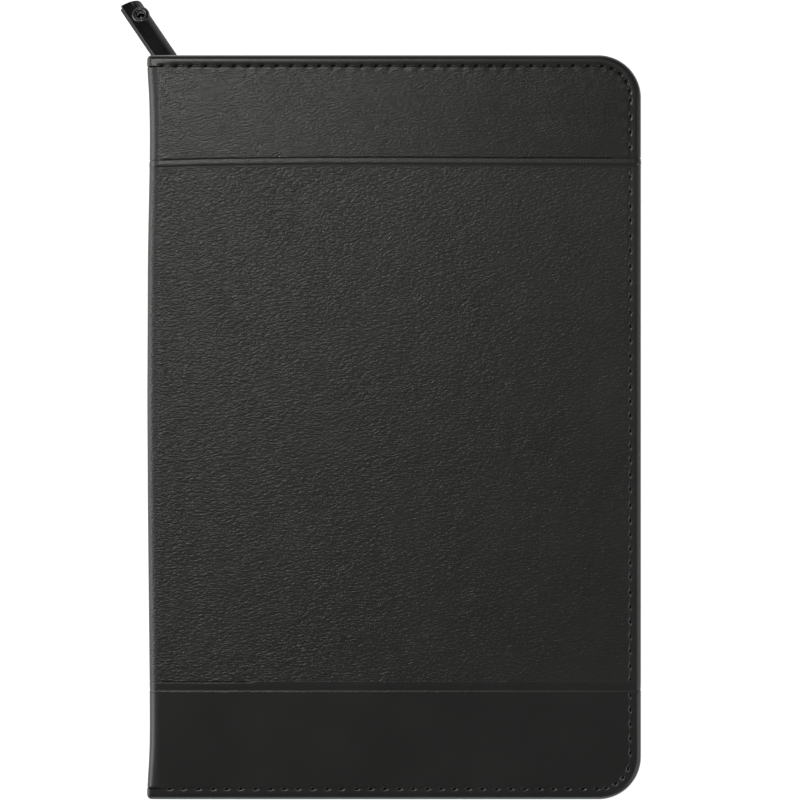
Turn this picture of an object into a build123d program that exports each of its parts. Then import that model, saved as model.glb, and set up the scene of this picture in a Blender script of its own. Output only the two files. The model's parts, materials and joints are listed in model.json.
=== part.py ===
from build123d import *
import os
from math import asin, cos, hypot, radians, sin, sqrt

# Zippered padfolio: two padded leather covers that fold on a spine, shut by a zip on three sides,
# with a writing pad, a pen loop and pockets inside. Millimetres. The origin is the centre of the
# back cover's resting face, +X runs to the fore edge, +Y to the top edge and +Z out of the front
# cover. The case lies shut and unzipped, with the slider parked at the spine end of the top edge.

# Case
CASE_WIDTH = 156.0
CASE_HEIGHT = 235.0
CASE_DEPTH = 25.0
FORE_CORNER_RADIUS = 13.5
RIM_FLAT = 0.2

# Layers of a cover, from the outside in
LEATHER = 1.0
FOAM = 1.2
BOARD = 1.6
LINING = 0.8
HEM_BEHIND_TAPE = 2.0
FOLD_HEM = 2.0

# Leather strips of the covers and the spine
TOP_BAND = 33.0
BOTTOM_BAND = 34.2
WELT_WIDTH = 3.2
WELT_PROUD = 0.3

# Spine
SPINE_BOARD = 1.2
FOLD_GAP = 0.3

# Zip
TAPE_INSET = 8.5
TAPE_CORNER_RADIUS = 5.0
TAPE_THICKNESS = 0.7
TAPE_EDGE_INSET = 2.4
TAPE_SPINE_GAP = 0.3
TOOTH_PITCH = 3.6
TOOTH_HEIGHT = 3.3
TOOTH_STEM = 1.0
TOOTH_HEAD = 1.6
TOOTH_HEAD_RISE = 1.0
TOOTH_THICKNESS = 2.2
ROW_GAP = 1.2
STOP_LENGTH = 0.8
STOP_HEIGHT = 2.4

# Slider
SLIDER_LENGTH = 8.6
SLIDER_PLATE = 0.8
SLIDER_LIP = 0.8
SLIDER_TAIL = 6.4
SLIDER_TAPER = 2.4
SLIDER_CORNER = 1.2
SLIDER_EDGE = 0.3
SLIDER_CLEARANCE = 0.3
SLIDER_PARK_GAP = 0.2
WEDGE_THICKNESS = 0.8
WEDGE_LENGTH = 3.0
WEDGE_POINT = 0.9

# Bail, ring and pull tab
BAIL_WIRE = 1.1
BAIL_SPAN = 4.4
RING_WIRE = 0.9
RING_SIDES = 6
RING_PLAY = 0.35
RING_PLATE_GAP = 0.2
TAB_BEARING = 34.2
TAB_ROLL = 8.0
TAB_TIP_HEIGHT = 1.15
TAB_LENGTH = 26.0
TAB_WIDTH = 6.6
TAB_THICKNESS = 1.6
TAB_CROWN = 0.6
TAB_CORNER = 0.8
TAB_SHOULDER = 2.3
TAB_SPINE_GAP = 1.3
EYE_WALL = 0.8
EYE_PLAY = 0.55
EYE_BAIL_GAP = 0.5
EYELET_BORE = 2.7
EYELET_WALL = 0.35
EYELET_FLANGE = 5.2
EYELET_INSET = 4.2

# Writing pad in its sleeve
PAD_END_ROOM = 5.5
PAD_LOOP_GAP = 3.3
PAD_BLOCK = 4.5
PAD_BACKING = 0.8
SLEEVE_THICKNESS = 0.6
SLEEVE_MARGIN = 0.9
SLEEVE_HEM_GAP = 0.1
GUM_STRIP = 11.0
BINDING_TAPE = 0.3

# Pen loop, sewn to the spine
PEN_LOOP_ROOM = 1.4
PEN_LOOP_WALL = 0.8
PEN_LOOP_LENGTH = 24.0
PEN_LOOP_HEM_GAP = 0.7
PEN_LOOP_Y = -30.0

# Pockets of the front cover
POCKET_THICKNESS = 0.9
POCKET_MARGIN = 1.5
POCKET_LOW_SIDE = 96.0
POCKET_HIGH_SIDE = 142.0
CARD_POCKETS = 3
CARD_POCKET_THICKNESS = 0.8
CARD_POCKET_WIDTH = 100.0
CARD_POCKET_HEIGHT = 48.0
CARD_POCKET_STEP = 12.0
CARD_POCKET_LIFT = 6.0

# Heights and places that follow from the sizes above
COVER_THICKNESS = 2 * LEATHER + FOAM + BOARD
LINING_FACE = LEATHER + FOAM + BOARD + LINING
SPINE_THICKNESS = LEATHER + SPINE_BOARD + LINING
MID_Z = CASE_DEPTH / 2
TOP = CASE_HEIGHT / 2
FORE = CASE_WIDTH / 2
SPINE_OUT = -CASE_WIDTH / 2
SPINE_IN = SPINE_OUT + SPINE_THICKNESS
RIM_RADIUS = (COVER_THICKNESS - RIM_FLAT) / 2
FOLD_RADIUS = COVER_THICKNESS / 2
FOLD_X = SPINE_OUT + FOLD_RADIUS
BACK_FOLD_Z = FOLD_RADIUS
FRONT_FOLD_Z = CASE_DEPTH - FOLD_RADIUS
BEYOND = CASE_WIDTH + CASE_HEIGHT

# Leather strips: lower and upper bound of each along Y
TOP_SEAM = TOP - TOP_BAND
BOTTOM_SEAM = BOTTOM_BAND - TOP
STRIPS = {
    "top_panel": (TOP_SEAM, BEYOND),
    "top_welt": (TOP_SEAM - WELT_WIDTH, TOP_SEAM),
    "centre_panel": (BOTTOM_SEAM + WELT_WIDTH, TOP_SEAM - WELT_WIDTH),
    "bottom_welt": (BOTTOM_SEAM, BOTTOM_SEAM + WELT_WIDTH),
    "bottom_panel": (-BEYOND, BOTTOM_SEAM),
}

# Zip: its line in plan, its two rows and the parked slider
TAPE_Y = TOP - TAPE_INSET
TAPE_X = FORE - TAPE_INSET
TAPE_START = SPINE_IN + TAPE_SPINE_GAP
TOOTH_BASE = MID_Z - ROW_GAP / 2 - TOOTH_HEIGHT
SLIDER_START = TAPE_START + STOP_LENGTH + SLIDER_PARK_GAP
SLIDER_X = SLIDER_START + SLIDER_LENGTH / 2
SLIDER_NOSE = SLIDER_START + SLIDER_LENGTH
FRONT_TAPE_START = SLIDER_NOSE + SLIDER_PARK_GAP
CHANNEL_HALF = TOOTH_THICKNESS / 2 + SLIDER_CLEARANCE
SLIDER_HALF_DEPTH = CHANNEL_HALF + SLIDER_PLATE
LIP_INNER = ROW_GAP / 2 + TOOTH_HEIGHT + SLIDER_CLEARANCE
SLIDER_HALF_HEIGHT = LIP_INNER + SLIDER_LIP

# The front row starts where its first tooth swings clear of the parked slider as the spine folds
SLIDER_REACH = hypot(SLIDER_NOSE - FOLD_X, MID_Z + SLIDER_HALF_HEIGHT - BACK_FOLD_Z)
FRONT_ROW_RISE = MID_Z + ROW_GAP / 2 - BACK_FOLD_Z
FRONT_ROW_START = FOLD_X + sqrt((SLIDER_REACH + SLIDER_CLEARANCE) ** 2 - FRONT_ROW_RISE**2)

# Pull: from the bail's bar down to the table, along the bearing of the tab
RING_SEAT = (BAIL_WIRE + RING_WIRE) / 2 + RING_PLAY
BAIL_RISE = RING_SEAT + RING_WIRE / 2 + RING_PLATE_GAP
BAIL_Y = TAPE_Y + SLIDER_HALF_DEPTH + BAIL_RISE
BAIL_CENTRE = Vector(SLIDER_X, BAIL_Y, MID_Z)
EYE_HOLE = RING_WIRE + 2 * EYE_PLAY
EYE_RADIUS = EYE_HOLE / 2 + EYE_WALL
RING_RADIUS = (RING_SEAT + EYE_RADIUS + BAIL_WIRE / 2 + EYE_BAIL_GAP) / 2
EYE_REACH = 2 * RING_RADIUS - RING_SEAT
PULL_SLOPE = asin((MID_Z - TAB_TIP_HEIGHT) / (EYE_REACH + TAB_LENGTH))
BEARING = radians(TAB_BEARING)
ROLL = radians(TAB_ROLL)
PULL = Vector(-sin(BEARING) * cos(PULL_SLOPE), cos(BEARING) * cos(PULL_SLOPE), -sin(PULL_SLOPE))
LEVEL_SIDE = Vector(cos(BEARING), sin(BEARING), 0)
LEVEL_FACE = LEVEL_SIDE.cross(PULL)
TAB_FACE = LEVEL_FACE * cos(ROLL) + LEVEL_SIDE * sin(ROLL)
TAB_SIDE = PULL.cross(TAB_FACE)
EYE_CENTRE = BAIL_CENTRE + PULL * EYE_REACH
RING_CENTRE = BAIL_CENTRE + PULL * (RING_RADIUS - RING_SEAT)

# The spine ends short of the covers, where the tab's near edge passes over it
TAB_EDGE = EYE_CENTRE - LEVEL_SIDE * (TAB_WIDTH / 2)
SPINE_END = TAB_EDGE.Y + (SPINE_IN - TAB_EDGE.X) * PULL.Y / PULL.X - TAB_SPINE_GAP

# Hem, lining, pen loop, pad and pockets
HEM_WIDTH = TAPE_INSET + HEM_BEHIND_TAPE
WINDOW_TOP = TOP - HEM_WIDTH
WINDOW_FORE = FORE - HEM_WIDTH
WINDOW_FOLD = FOLD_X + FOLD_HEM
PEN_LOOP_RADIUS = MID_Z - LINING_FACE - POCKET_THICKNESS - PEN_LOOP_ROOM
PEN_BORE = 2 * (PEN_LOOP_RADIUS - PEN_LOOP_WALL)
PAD_FORE = WINDOW_FORE - SLEEVE_HEM_GAP - SLEEVE_MARGIN
PAD_FOLD = SPINE_IN + 2 * PEN_LOOP_RADIUS + PAD_LOOP_GAP
PAD_HEAD = WINDOW_TOP - PAD_END_ROOM
SLEEVE_FACE = LINING_FACE + PAD_BACKING + SLEEVE_THICKNESS
PAD_FACE = SLEEVE_FACE + PAD_BLOCK
FRONT_LINING_FACE = CASE_DEPTH - LINING_FACE


def span_box(x, y, z):
    """Box between pairs of bounds along X, Y and Z."""
    size = [high - low for low, high in (x, y, z)]
    return Pos(x[0], y[0], z[0]) * Box(*size, align=(Align.MIN, Align.MIN, Align.MIN))


def plan(inset, left, corner):
    """Plan of a cover drawn in from its three zipped sides, cut off square at its left edge."""
    width = FORE - inset - left
    face = Pos(left, 0) * Rectangle(width, 2 * (TOP - inset), align=(Align.MIN, Align.CENTER))
    return fillet(face.vertices().group_by(Axis.X)[-1], corner)


def cover_block(inset, outer_ease):
    """Block of a back cover drawn in on all sides, its outer rim rolled or bevelled, its inner rim bevelled."""
    face = plan(inset, SPINE_OUT + inset, FORE_CORNER_RADIUS - inset)
    block = Pos(0, 0, inset) * extrude(face, COVER_THICKNESS - 2 * inset)
    block = outer_ease(block.faces().sort_by(Axis.Z)[0].edges(), RIM_RADIUS - inset)
    return chamfer(block.faces().sort_by(Axis.Z)[-1].edges(), RIM_RADIUS - inset)


def strip(body, low, high):
    """The part of a body between two bounds along Y."""
    return body & span_box((-BEYOND, BEYOND), (low, high), (-BEYOND, BEYOND))


def cover_layers():
    """Leather, foam, board and lining of the back cover."""
    core = cover_block(LEATHER, chamfer)
    board_low = LEATHER + FOAM
    board_high = board_low + BOARD
    window = plan(HEM_WIDTH, WINDOW_FOLD, TAPE_CORNER_RADIUS - HEM_BEHIND_TAPE)
    opening = Pos(0, 0, board_low) * extrude(window, COVER_THICKNESS)
    leather = cover_block(0, fillet) - core - opening
    foam = core & span_box((-BEYOND, BEYOND), (-BEYOND, BEYOND), (0, board_low))
    board = core & span_box((-BEYOND, BEYOND), (-BEYOND, BEYOND), (board_low, board_high))
    lining = Pos(0, 0, board_high) * extrude(window, LINING)
    return leather, foam, board, lining


def welt_ridges():
    """Thin layer by which the front cover's welts stand above its leather."""
    layer = cover_block(-WELT_PROUD, fillet) - cover_block(0, fillet)
    outer_half = (-BEYOND, FOLD_RADIUS)
    return layer & span_box((WINDOW_FOLD, BEYOND), (-BEYOND, BEYOND), outer_half)


def to_front(body):
    """Mirror image of a back cover's body, as the front cover has it."""
    return mirror(body, about=Plane.XY.offset(MID_Z))


def make_covers():
    leather, foam, board, lining = cover_layers()
    ridges = welt_ridges()
    nodes = {}
    for name, (low, high) in STRIPS.items():
        piece = strip(leather, low, high)
        nodes["back_" + name] = piece
        if name.endswith("welt"):
            piece = piece + strip(ridges, low, high)
        nodes["front_" + name] = to_front(piece)
    for name, layer in (("foam", foam), ("board", board), ("lining", lining)):
        nodes["back_" + name] = layer
        nodes["front_" + name] = to_front(layer)
    return nodes


def spine_layer(low, high, end):
    """Upright layer of the spine, hollowed along both folds to clear the covers' round edges."""
    layer = span_box((low, high), (-end, end), (BACK_FOLD_Z, FRONT_FOLD_Z))
    for fold_z in (BACK_FOLD_Z, FRONT_FOLD_Z):
        layer -= Pos(FOLD_X, 0, fold_z) * Rot(90, 0, 0) * Cylinder(FOLD_RADIUS + FOLD_GAP, BEYOND)
    return layer


def make_spine():
    board_out = SPINE_OUT + LEATHER
    board_in = board_out + SPINE_BOARD
    inner_end = SPINE_END - LEATHER
    leather = spine_layer(SPINE_OUT, SPINE_IN, SPINE_END)
    leather -= span_box((board_out, BEYOND), (-inner_end, inner_end), (0, CASE_DEPTH))
    nodes = {"spine_" + name: strip(leather, *bounds) for name, bounds in STRIPS.items()}
    nodes["spine_board"] = spine_layer(board_out, board_in, inner_end)
    nodes["spine_lining"] = spine_layer(board_in, SPINE_IN, inner_end)
    return nodes


def make_pen_loop():
    """Elastic loop on a flat base that is sewn to the spine's lining."""
    axis = Pos(SPINE_IN + PEN_LOOP_RADIUS, PEN_LOOP_Y, MID_Z) * Rot(90, 0, 0)
    half = PEN_LOOP_LENGTH / 2
    base_low = COVER_THICKNESS + PEN_LOOP_HEM_GAP
    base = span_box(
        (SPINE_IN, SPINE_IN + PEN_LOOP_WALL),
        (PEN_LOOP_Y - half, PEN_LOOP_Y + half),
        (base_low, CASE_DEPTH - base_low),
    )
    loop = axis * Cylinder(PEN_LOOP_RADIUS, PEN_LOOP_LENGTH) + base
    return {"pen_loop": loop - axis * Cylinder(PEN_BORE / 2, BEYOND)}


def zip_tape():
    """Back tape: a flange sewn to the hem and a wall that stands up to carry the teeth."""
    half = TAPE_THICKNESS / 2
    within = plan(TAPE_INSET + half, TAPE_START - FORE, TAPE_CORNER_RADIUS - half)
    wall = plan(TAPE_INSET - half, TAPE_START, TAPE_CORNER_RADIUS + half) - within
    flange = plan(TAPE_EDGE_INSET, TAPE_START, FORE_CORNER_RADIUS - TAPE_EDGE_INSET) - within
    wall = extrude(wall, TOOTH_BASE - COVER_THICKNESS)
    return Pos(0, 0, COVER_THICKNESS) * (wall + extrude(flange, TAPE_THICKNESS))


def tooth():
    """One tooth standing on the tape's edge: it widens from its stem to its head, then narrows."""
    head = TOOTH_BASE + TOOTH_HEIGHT
    stem_half = TOOTH_STEM / 2
    right = [(stem_half, TOOTH_BASE), (TOOTH_HEAD / 2, head - TOOTH_HEAD_RISE), (stem_half, head)]
    left = [(-x, z) for x, z in reversed(right)]
    profile = Plane.XZ * make_face(Polyline(*right, *left, close=True))
    return extrude(profile, TOOTH_THICKNESS / 2, both=True)


def teeth_row(first, last_top_x):
    """Teeth along the zip from the foot of the spine, up to a bound at the top edge."""
    corners = [(TAPE_START, -TAPE_Y), (TAPE_X, -TAPE_Y), (TAPE_X, TAPE_Y), (last_top_x, TAPE_Y)]
    line = FilletPolyline(*corners, radius=TAPE_CORNER_RADIUS)
    one = tooth()
    count = int((line.length - first - TOOTH_PITCH / 2) / TOOTH_PITCH) + 1
    teeth = []
    for index in range(count):
        along = (first + index * TOOTH_PITCH) / line.length
        place = Plane(origin=line @ along, x_dir=line % along, z_dir=(0, 0, 1))
        teeth.append(one.moved(place.location))
    return Compound(teeth)


def end_stops():
    """Stops clamped on the back tape at both ends of the zip."""
    half = TOOTH_THICKNESS / 2
    stops = []
    for y in (-TAPE_Y, TAPE_Y):
        bounds = (TAPE_START, TAPE_START + STOP_LENGTH), (y - half, y + half)
        stops.append(span_box(*bounds, (TOOTH_BASE, TOOTH_BASE + STOP_HEIGHT)))
    return Compound(stops)


def make_zip():
    back_tape = zip_tape()
    parked = (-BEYOND, FRONT_TAPE_START), (0, BEYOND), (0, CASE_DEPTH)
    first = STOP_LENGTH + TOOTH_PITCH / 2
    return {
        "back_zip_tape": back_tape,
        "front_zip_tape": to_front(back_tape) - span_box(*parked),
        "back_zip_teeth": teeth_row(first, TAPE_START + STOP_LENGTH),
        "front_zip_teeth": to_front(teeth_row(first + TOOTH_PITCH / 2, FRONT_ROW_START)),
        "zip_end_stops": end_stops(),
    }


def make_slider():
    """Slider body, seen from outside the top edge: two plates, four lips and the wedge between rows."""
    fore = SLIDER_LENGTH / 2
    lip_start = SLIDER_TAPER - fore
    upper = [(fore, SLIDER_HALF_HEIGHT), (lip_start, SLIDER_HALF_HEIGHT), (-fore, SLIDER_TAIL / 2)]
    lower = [(x, -y) for x, y in reversed(upper)]
    outline = make_face(Polyline(*upper, *lower, close=True))
    outline = chamfer(outline.vertices(), SLIDER_CORNER)
    plate = Pos(0, 0, CHANNEL_HALF) * extrude(outline, SLIDER_PLATE)
    plate = chamfer(plate.faces().sort_by(Axis.Z)[-1].edges(), SLIDER_EDGE)
    slot = TAPE_THICKNESS / 2 + SLIDER_CLEARANCE
    lip_end = fore - SLIDER_CORNER
    lip = span_box((lip_start, lip_end), (LIP_INNER, SLIDER_HALF_HEIGHT), (slot, CHANNEL_HALF))
    shell = plate + lip + mirror(lip, about=Plane.XZ)
    half = WEDGE_THICKNESS / 2
    nose = lip_end - WEDGE_POINT
    tail = lip_end - WEDGE_LENGTH
    wedge = [(lip_end, 0), (nose, half), (tail, half), (tail - WEDGE_POINT, 0), (tail, -half), (nose, -half)]
    wedge = extrude(make_face(Polyline(*wedge, close=True)), CHANNEL_HALF, both=True)
    body = shell + mirror(shell, about=Plane.XY) + wedge
    seat = Plane(origin=(SLIDER_X, TAPE_Y, MID_Z), x_dir=(1, 0, 0), z_dir=(0, 1, 0))
    return seat.location * body


def make_bail():
    """Square bail of round wire whose legs stand on the slider's outer plate."""
    foot = BAIL_Y - BAIL_RISE
    left = SLIDER_X - BAIL_SPAN / 2
    right = SLIDER_X + BAIL_SPAN / 2
    corners = [(left, foot, MID_Z), (left, BAIL_Y, MID_Z), (right, BAIL_Y, MID_Z), (right, foot, MID_Z)]
    wire = Polyline(*corners)
    section = Plane(origin=corners[0], z_dir=(0, 1, 0)) * Circle(BAIL_WIRE / 2)
    return sweep(section, path=wire, transition=Transition.RIGHT)


def make_ring():
    """Ring of six-sided wire that links the bail to the tab."""
    section = Plane.XZ * Pos(RING_RADIUS, 0) * RegularPolygon(RING_WIRE / 2, RING_SIDES)
    ring_plane = Plane(origin=RING_CENTRE, x_dir=PULL, z_dir=TAB_SIDE)
    return ring_plane.location * revolve(section, Axis.Z)


def tab_outline():
    """Outline of the tab from its round eye, over the shoulders, to its slightly crowned tip."""
    half = TAB_WIDTH / 2
    straight_end = TAB_LENGTH - TAB_CROWN
    sides = [
        Polyline((0, side * EYE_RADIUS), (TAB_SHOULDER, side * half), (straight_end, side * half))
        for side in (1, -1)
    ]
    tip = ThreePointArc((straight_end, half), (TAB_LENGTH, 0), (straight_end, -half))
    eye = ThreePointArc((0, EYE_RADIUS), (-EYE_RADIUS, 0), (0, -EYE_RADIUS))
    face = make_face([*sides, tip, eye])
    return fillet(face.vertices().group_by(Axis.X)[-1], TAB_CORNER)


def make_tab():
    eyelet_hole = EYELET_BORE / 2 + EYELET_WALL
    eyelet_place = Pos(TAB_LENGTH - EYELET_INSET, 0, 0)
    tab = extrude(tab_outline(), TAB_THICKNESS / 2, both=True)
    tab -= Cylinder(EYE_HOLE / 2, TAB_LENGTH) + eyelet_place * Cylinder(eyelet_hole, TAB_LENGTH)
    flange = Cylinder(EYELET_FLANGE / 2, EYELET_WALL, align=(Align.CENTER, Align.CENTER, Align.MIN))
    flange = Pos(0, 0, TAB_THICKNESS / 2) * flange
    eyelet = Cylinder(eyelet_hole, TAB_THICKNESS) + flange + mirror(flange, about=Plane.XY)
    eyelet = eyelet_place * (eyelet - Cylinder(EYELET_BORE / 2, TAB_LENGTH))
    seat = Plane(origin=EYE_CENTRE, x_dir=PULL, z_dir=TAB_FACE).location
    return {"pull_tab": seat * tab, "tab_eyelet": seat * eyelet}


def make_pad():
    """Writing pad whose backing card is tucked into a sleeve sewn to the back lining."""
    x = PAD_FOLD, PAD_FORE
    y = -PAD_HEAD, PAD_HEAD
    backing_face = LINING_FACE + PAD_BACKING
    backing = span_box(x, y, (LINING_FACE, backing_face))
    sleeve_x = x[0] - SLEEVE_MARGIN, x[1] + SLEEVE_MARGIN
    sleeve_y = y[0] - SLEEVE_MARGIN, PAD_HEAD - GUM_STRIP
    sleeve = span_box(sleeve_x, sleeve_y, (LINING_FACE, SLEEVE_FACE)) - backing
    gummed = span_box(x, (sleeve_y[1], PAD_HEAD), (backing_face, SLEEVE_FACE))
    sheets = span_box(x, y, (SLEEVE_FACE, PAD_FACE)) + gummed
    tape_y = sleeve_y[1], PAD_HEAD + BINDING_TAPE
    binding = span_box(x, tape_y, (LINING_FACE, PAD_FACE + BINDING_TAPE)) - backing - sheets
    return {"pad_sleeve": sleeve, "pad_backing": backing, "pad_sheets": sheets, "pad_binding": binding}


def make_pockets():
    """Document pocket with a slanted mouth, and stepped card pockets sewn on it."""
    left = WINDOW_FOLD + POCKET_MARGIN
    right = WINDOW_FORE - POCKET_MARGIN
    foot = POCKET_MARGIN - WINDOW_TOP
    corners = [(left, foot), (right, foot), (right, foot + POCKET_HIGH_SIDE), (left, foot + POCKET_LOW_SIDE)]
    face = make_face(Polyline(*corners, close=True))
    nodes = {"document_pocket": Pos(0, 0, FRONT_LINING_FACE) * extrude(face, -POCKET_THICKNESS)}
    card_left = (left + right - CARD_POCKET_WIDTH) / 2
    card_foot = foot + CARD_POCKET_LIFT
    top_z = FRONT_LINING_FACE - POCKET_THICKNESS
    for index in range(CARD_POCKETS):
        height = CARD_POCKET_HEIGHT + (CARD_POCKETS - 1 - index) * CARD_POCKET_STEP
        nodes[f"card_pocket_{index + 1}"] = span_box(
            (card_left, card_left + CARD_POCKET_WIDTH),
            (card_foot, card_foot + height),
            (top_z - CARD_POCKET_THICKNESS, top_z),
        )
        top_z -= CARD_POCKET_THICKNESS
    return nodes


def make_part():
    nodes = {**make_covers(), **make_spine(), **make_pen_loop(), **make_zip()}
    nodes["slider_body"] = make_slider()
    nodes["slider_bail"] = make_bail()
    nodes["pull_ring"] = make_ring()
    nodes.update(make_tab())
    nodes.update(make_pad())
    nodes.update(make_pockets())
    return nodes


os.makedirs("parts", exist_ok=True)
for node_name, node_shape in make_part().items():
    export_step(node_shape, f"parts/{node_name}.step")
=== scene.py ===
"""Leather padfolio with a zip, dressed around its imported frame.

Meshes are built in millimetres, in the part's own frame, and scaled to metres when a piece is finished.
"""
import bisect
import json
import math
import random

import bmesh
import bpy
from mathutils import Matrix, Vector, noise


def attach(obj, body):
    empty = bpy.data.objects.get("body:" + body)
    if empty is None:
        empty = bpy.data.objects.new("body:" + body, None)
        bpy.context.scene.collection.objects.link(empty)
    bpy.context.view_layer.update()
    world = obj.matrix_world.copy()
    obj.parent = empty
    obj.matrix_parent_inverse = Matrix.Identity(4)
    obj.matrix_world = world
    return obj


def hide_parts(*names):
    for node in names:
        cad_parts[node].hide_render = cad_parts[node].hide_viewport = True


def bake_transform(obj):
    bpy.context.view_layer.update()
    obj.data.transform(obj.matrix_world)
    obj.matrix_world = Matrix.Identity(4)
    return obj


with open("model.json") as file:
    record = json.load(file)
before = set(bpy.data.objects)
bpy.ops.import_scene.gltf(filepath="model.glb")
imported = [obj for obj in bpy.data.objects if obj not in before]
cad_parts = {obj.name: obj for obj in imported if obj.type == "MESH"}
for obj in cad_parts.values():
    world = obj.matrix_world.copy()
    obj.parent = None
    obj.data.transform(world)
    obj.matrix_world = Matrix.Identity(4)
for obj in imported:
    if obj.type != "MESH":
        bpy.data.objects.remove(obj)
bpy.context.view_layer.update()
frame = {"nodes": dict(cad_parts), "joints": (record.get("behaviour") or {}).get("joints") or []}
nodes = frame["nodes"]
joints = {joint["name"]: joint for joint in frame["joints"]}

MM = 0.001
SLIVER = 0.012

# Case
LEFT = -78.0
FORE = 78.0
TOP = 117.5
DEPTH = 25.0
CORNER = 13.5
COVER = 4.8
ROLL = COVER / 2
FOLD_CORNER = 1.6
FOLD_X = LEFT + ROLL
FOLD_REACH = 4.4
FOLD_EDGE = LEFT + 4.8
NOSE_Y = 114.0
SPINE_IN = -75.0
SPINE_END = 114.2
HIDE = 0.9
WINDOW_FORE = 67.5
LINING_DEPTH = 4.6
LINING_FOLD = -74.6

# Leather strips along Y, from the top down
TOP_SEAM = 84.5
TOP_SEAM_LOW = 81.3
BOTTOM_SEAM_HIGH = -80.1
BOTTOM_SEAM = -83.8
PANELS = {
    "top_panel": (TOP_SEAM, TOP),
    "centre_panel": (BOTTOM_SEAM_HIGH, TOP_SEAM_LOW),
    "bottom_panel": (-TOP, BOTTOM_SEAM),
}
SLOTS = {"top_panel": "smooth_leather", "centre_panel": "grained_leather", "bottom_panel": "smooth_leather"}

# Stitching of the covers
STITCH_INSET = 3.5
TOP_PITCH = 4.5
CORNER_PITCH = 3.1
FORE_PITCH = 4.7
TOP_GROOVE = 0.17
SIDE_GROOVE = 0.05
PIT_DEPTH = 0.38
PUCKER = 0.03
GROOVE_HALF = 0.24
PIT_HALF = 0.34
PIT_ALONG = 0.7
PUCKER_INSET = 0.9
PUCKER_HALF = 0.8
PUCKER_ALONG = 1.1
FIRST_HOLE = 1.2
LAST_HOLE = 0.6
PITCH_SPREAD = (0.93, 1.07)
RIM_CROWN = 2.0
RIM_SQUARE = 2.8
NOSE_FLAT = 2.5
NOSE_BLEND = 7.0

# Zip
TAPE_INSET = 8.5
TAPE_START = -74.7
FRONT_TAPE_START = -64.9
FRONT_ROW_START = -60.27
TOOTH_PITCH = 3.6
TOOTH_BASE = 8.6
TOOTH_HEIGHT = 3.3
FIRST_TOOTH = 2.6
HEAD_SIZE = (1.75, 2.2, 1.7)
HEAD_EASE = 0.42
STEM_SIZE = (1.05, 1.8, 2.0)
STEM_MIDDLE = 0.9
BACK_ROW_START = TAPE_START + 0.8


def clamped(share):
    return min(max(share, 0.0), 1.0)


def eased(share):
    """Share that starts and stops gently."""
    return share * share * (3 - 2 * share)


def bell(distance, width):
    """One at no distance, falling to nothing beyond a width."""
    return math.exp(-((distance / width) ** 2))


# Finishing a piece


def mesh_from(bm, name):
    mesh = bpy.data.meshes.new(name)
    bm.to_mesh(mesh)
    bm.free()
    return mesh


def add_object(name, data):
    made = bpy.data.objects.new(name, data)
    bpy.context.scene.collection.objects.link(made)
    return made


def finish_piece(name, bm, material, body, replaces=(), thickness=None, smooth=True):
    """Turns a bmesh in millimetres into a piece at the origin, which rides on a body if one is given."""
    for edge in bm.edges:
        edge.smooth = not edge.is_boundary
    mesh = mesh_from(bm, name)
    mesh.transform(Matrix.Scale(MM, 4))
    for polygon in mesh.polygons:
        polygon.use_smooth = smooth
    mesh.materials.append(material)
    piece = add_object(name, mesh)
    if thickness:
        wall = piece.modifiers.new("wall", "SOLIDIFY")
        wall.thickness = thickness * MM
        wall.offset = -1
    if body:
        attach(piece, body)
    if replaces:
        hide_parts(*replaces)
    return piece


def finish_pair(name, sides, material, solid=None, thickness=None, smooth=True):
    """Finishes the pieces of both covers that are alike, which may replace a solid of each."""
    pieces = []
    for side, bm in sides.items():
        replaced = [f"{side}_{solid}"] if solid else ()
        body = f"{side}_cover"
        piece = finish_piece(f"{side}_{name}", bm, material, body, replaced, thickness, smooth)
        pieces.append(piece)
    return pieces


def sharpen(piece, degrees):
    """Keeps edges crisp where two faces meet at more than an angle."""
    piece.data.set_sharp_from_angle(angle=math.radians(degrees))


def to_back(bm):
    """Mirror image of a front cover's mesh, as the back cover has it."""
    bmesh.ops.scale(bm, vec=(1, 1, -1), verts=bm.verts)
    bmesh.ops.translate(bm, vec=(0, 0, DEPTH), verts=bm.verts)
    bmesh.ops.reverse_faces(bm, faces=bm.faces)
    return bm


def merge_near(bm, distance):
    """Merges points almost on each other, taken in an order that is the same on every run."""
    in_order = sorted(bm.verts, key=lambda vert: [round(value, 4) for value in vert.co])
    ranks = {vert: rank for rank, vert in enumerate(in_order)}
    bm.verts.sort(key=ranks.get)
    bmesh.ops.remove_doubles(bm, verts=bm.verts, dist=distance)
    return bm


def cut(bm, place, normal, parts=None, clear_outer=False):
    """Cuts a mesh, or some parts of it, along a plane."""
    geometry = parts or bm.verts[:] + bm.edges[:] + bm.faces[:]
    bmesh.ops.bisect_plane(bm, geom=geometry, plane_co=place, plane_no=normal, clear_outer=clear_outer)


def keep_between(bm, low, high):
    """Cuts a mesh down to the stretch between two bounds along Y, and merges points left almost together."""
    for bound, outwards in ((low, -1), (high, 1)):
        cut(bm, (0, bound, 0), (0, outwards, 0), clear_outer=True)
    return merge_near(bm, SLIVER)


def grow_rows(start, rows, closed=False):
    """Sheet grown from one row of points by extruding it through further rows of as many points."""
    bm = bmesh.new()
    place = bm.verts.layers.int.new("place")
    verts = []
    for number, point in enumerate(start):
        vert = bm.verts.new(point)
        vert[place] = number
        verts.append(vert)
    edges = [bm.edges.new(pair) for pair in zip(verts, verts[1:])]
    if closed:
        edges.append(bm.edges.new((verts[-1], verts[0])))
    for row in rows:
        grown = bmesh.ops.extrude_edge_only(bm, edges=edges)["geom"]
        edges = [part for part in grown if isinstance(part, bmesh.types.BMEdge)]
        for part in grown:
            if isinstance(part, bmesh.types.BMVert):
                part.co = row[part[place]]
    return bm, edges


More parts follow.
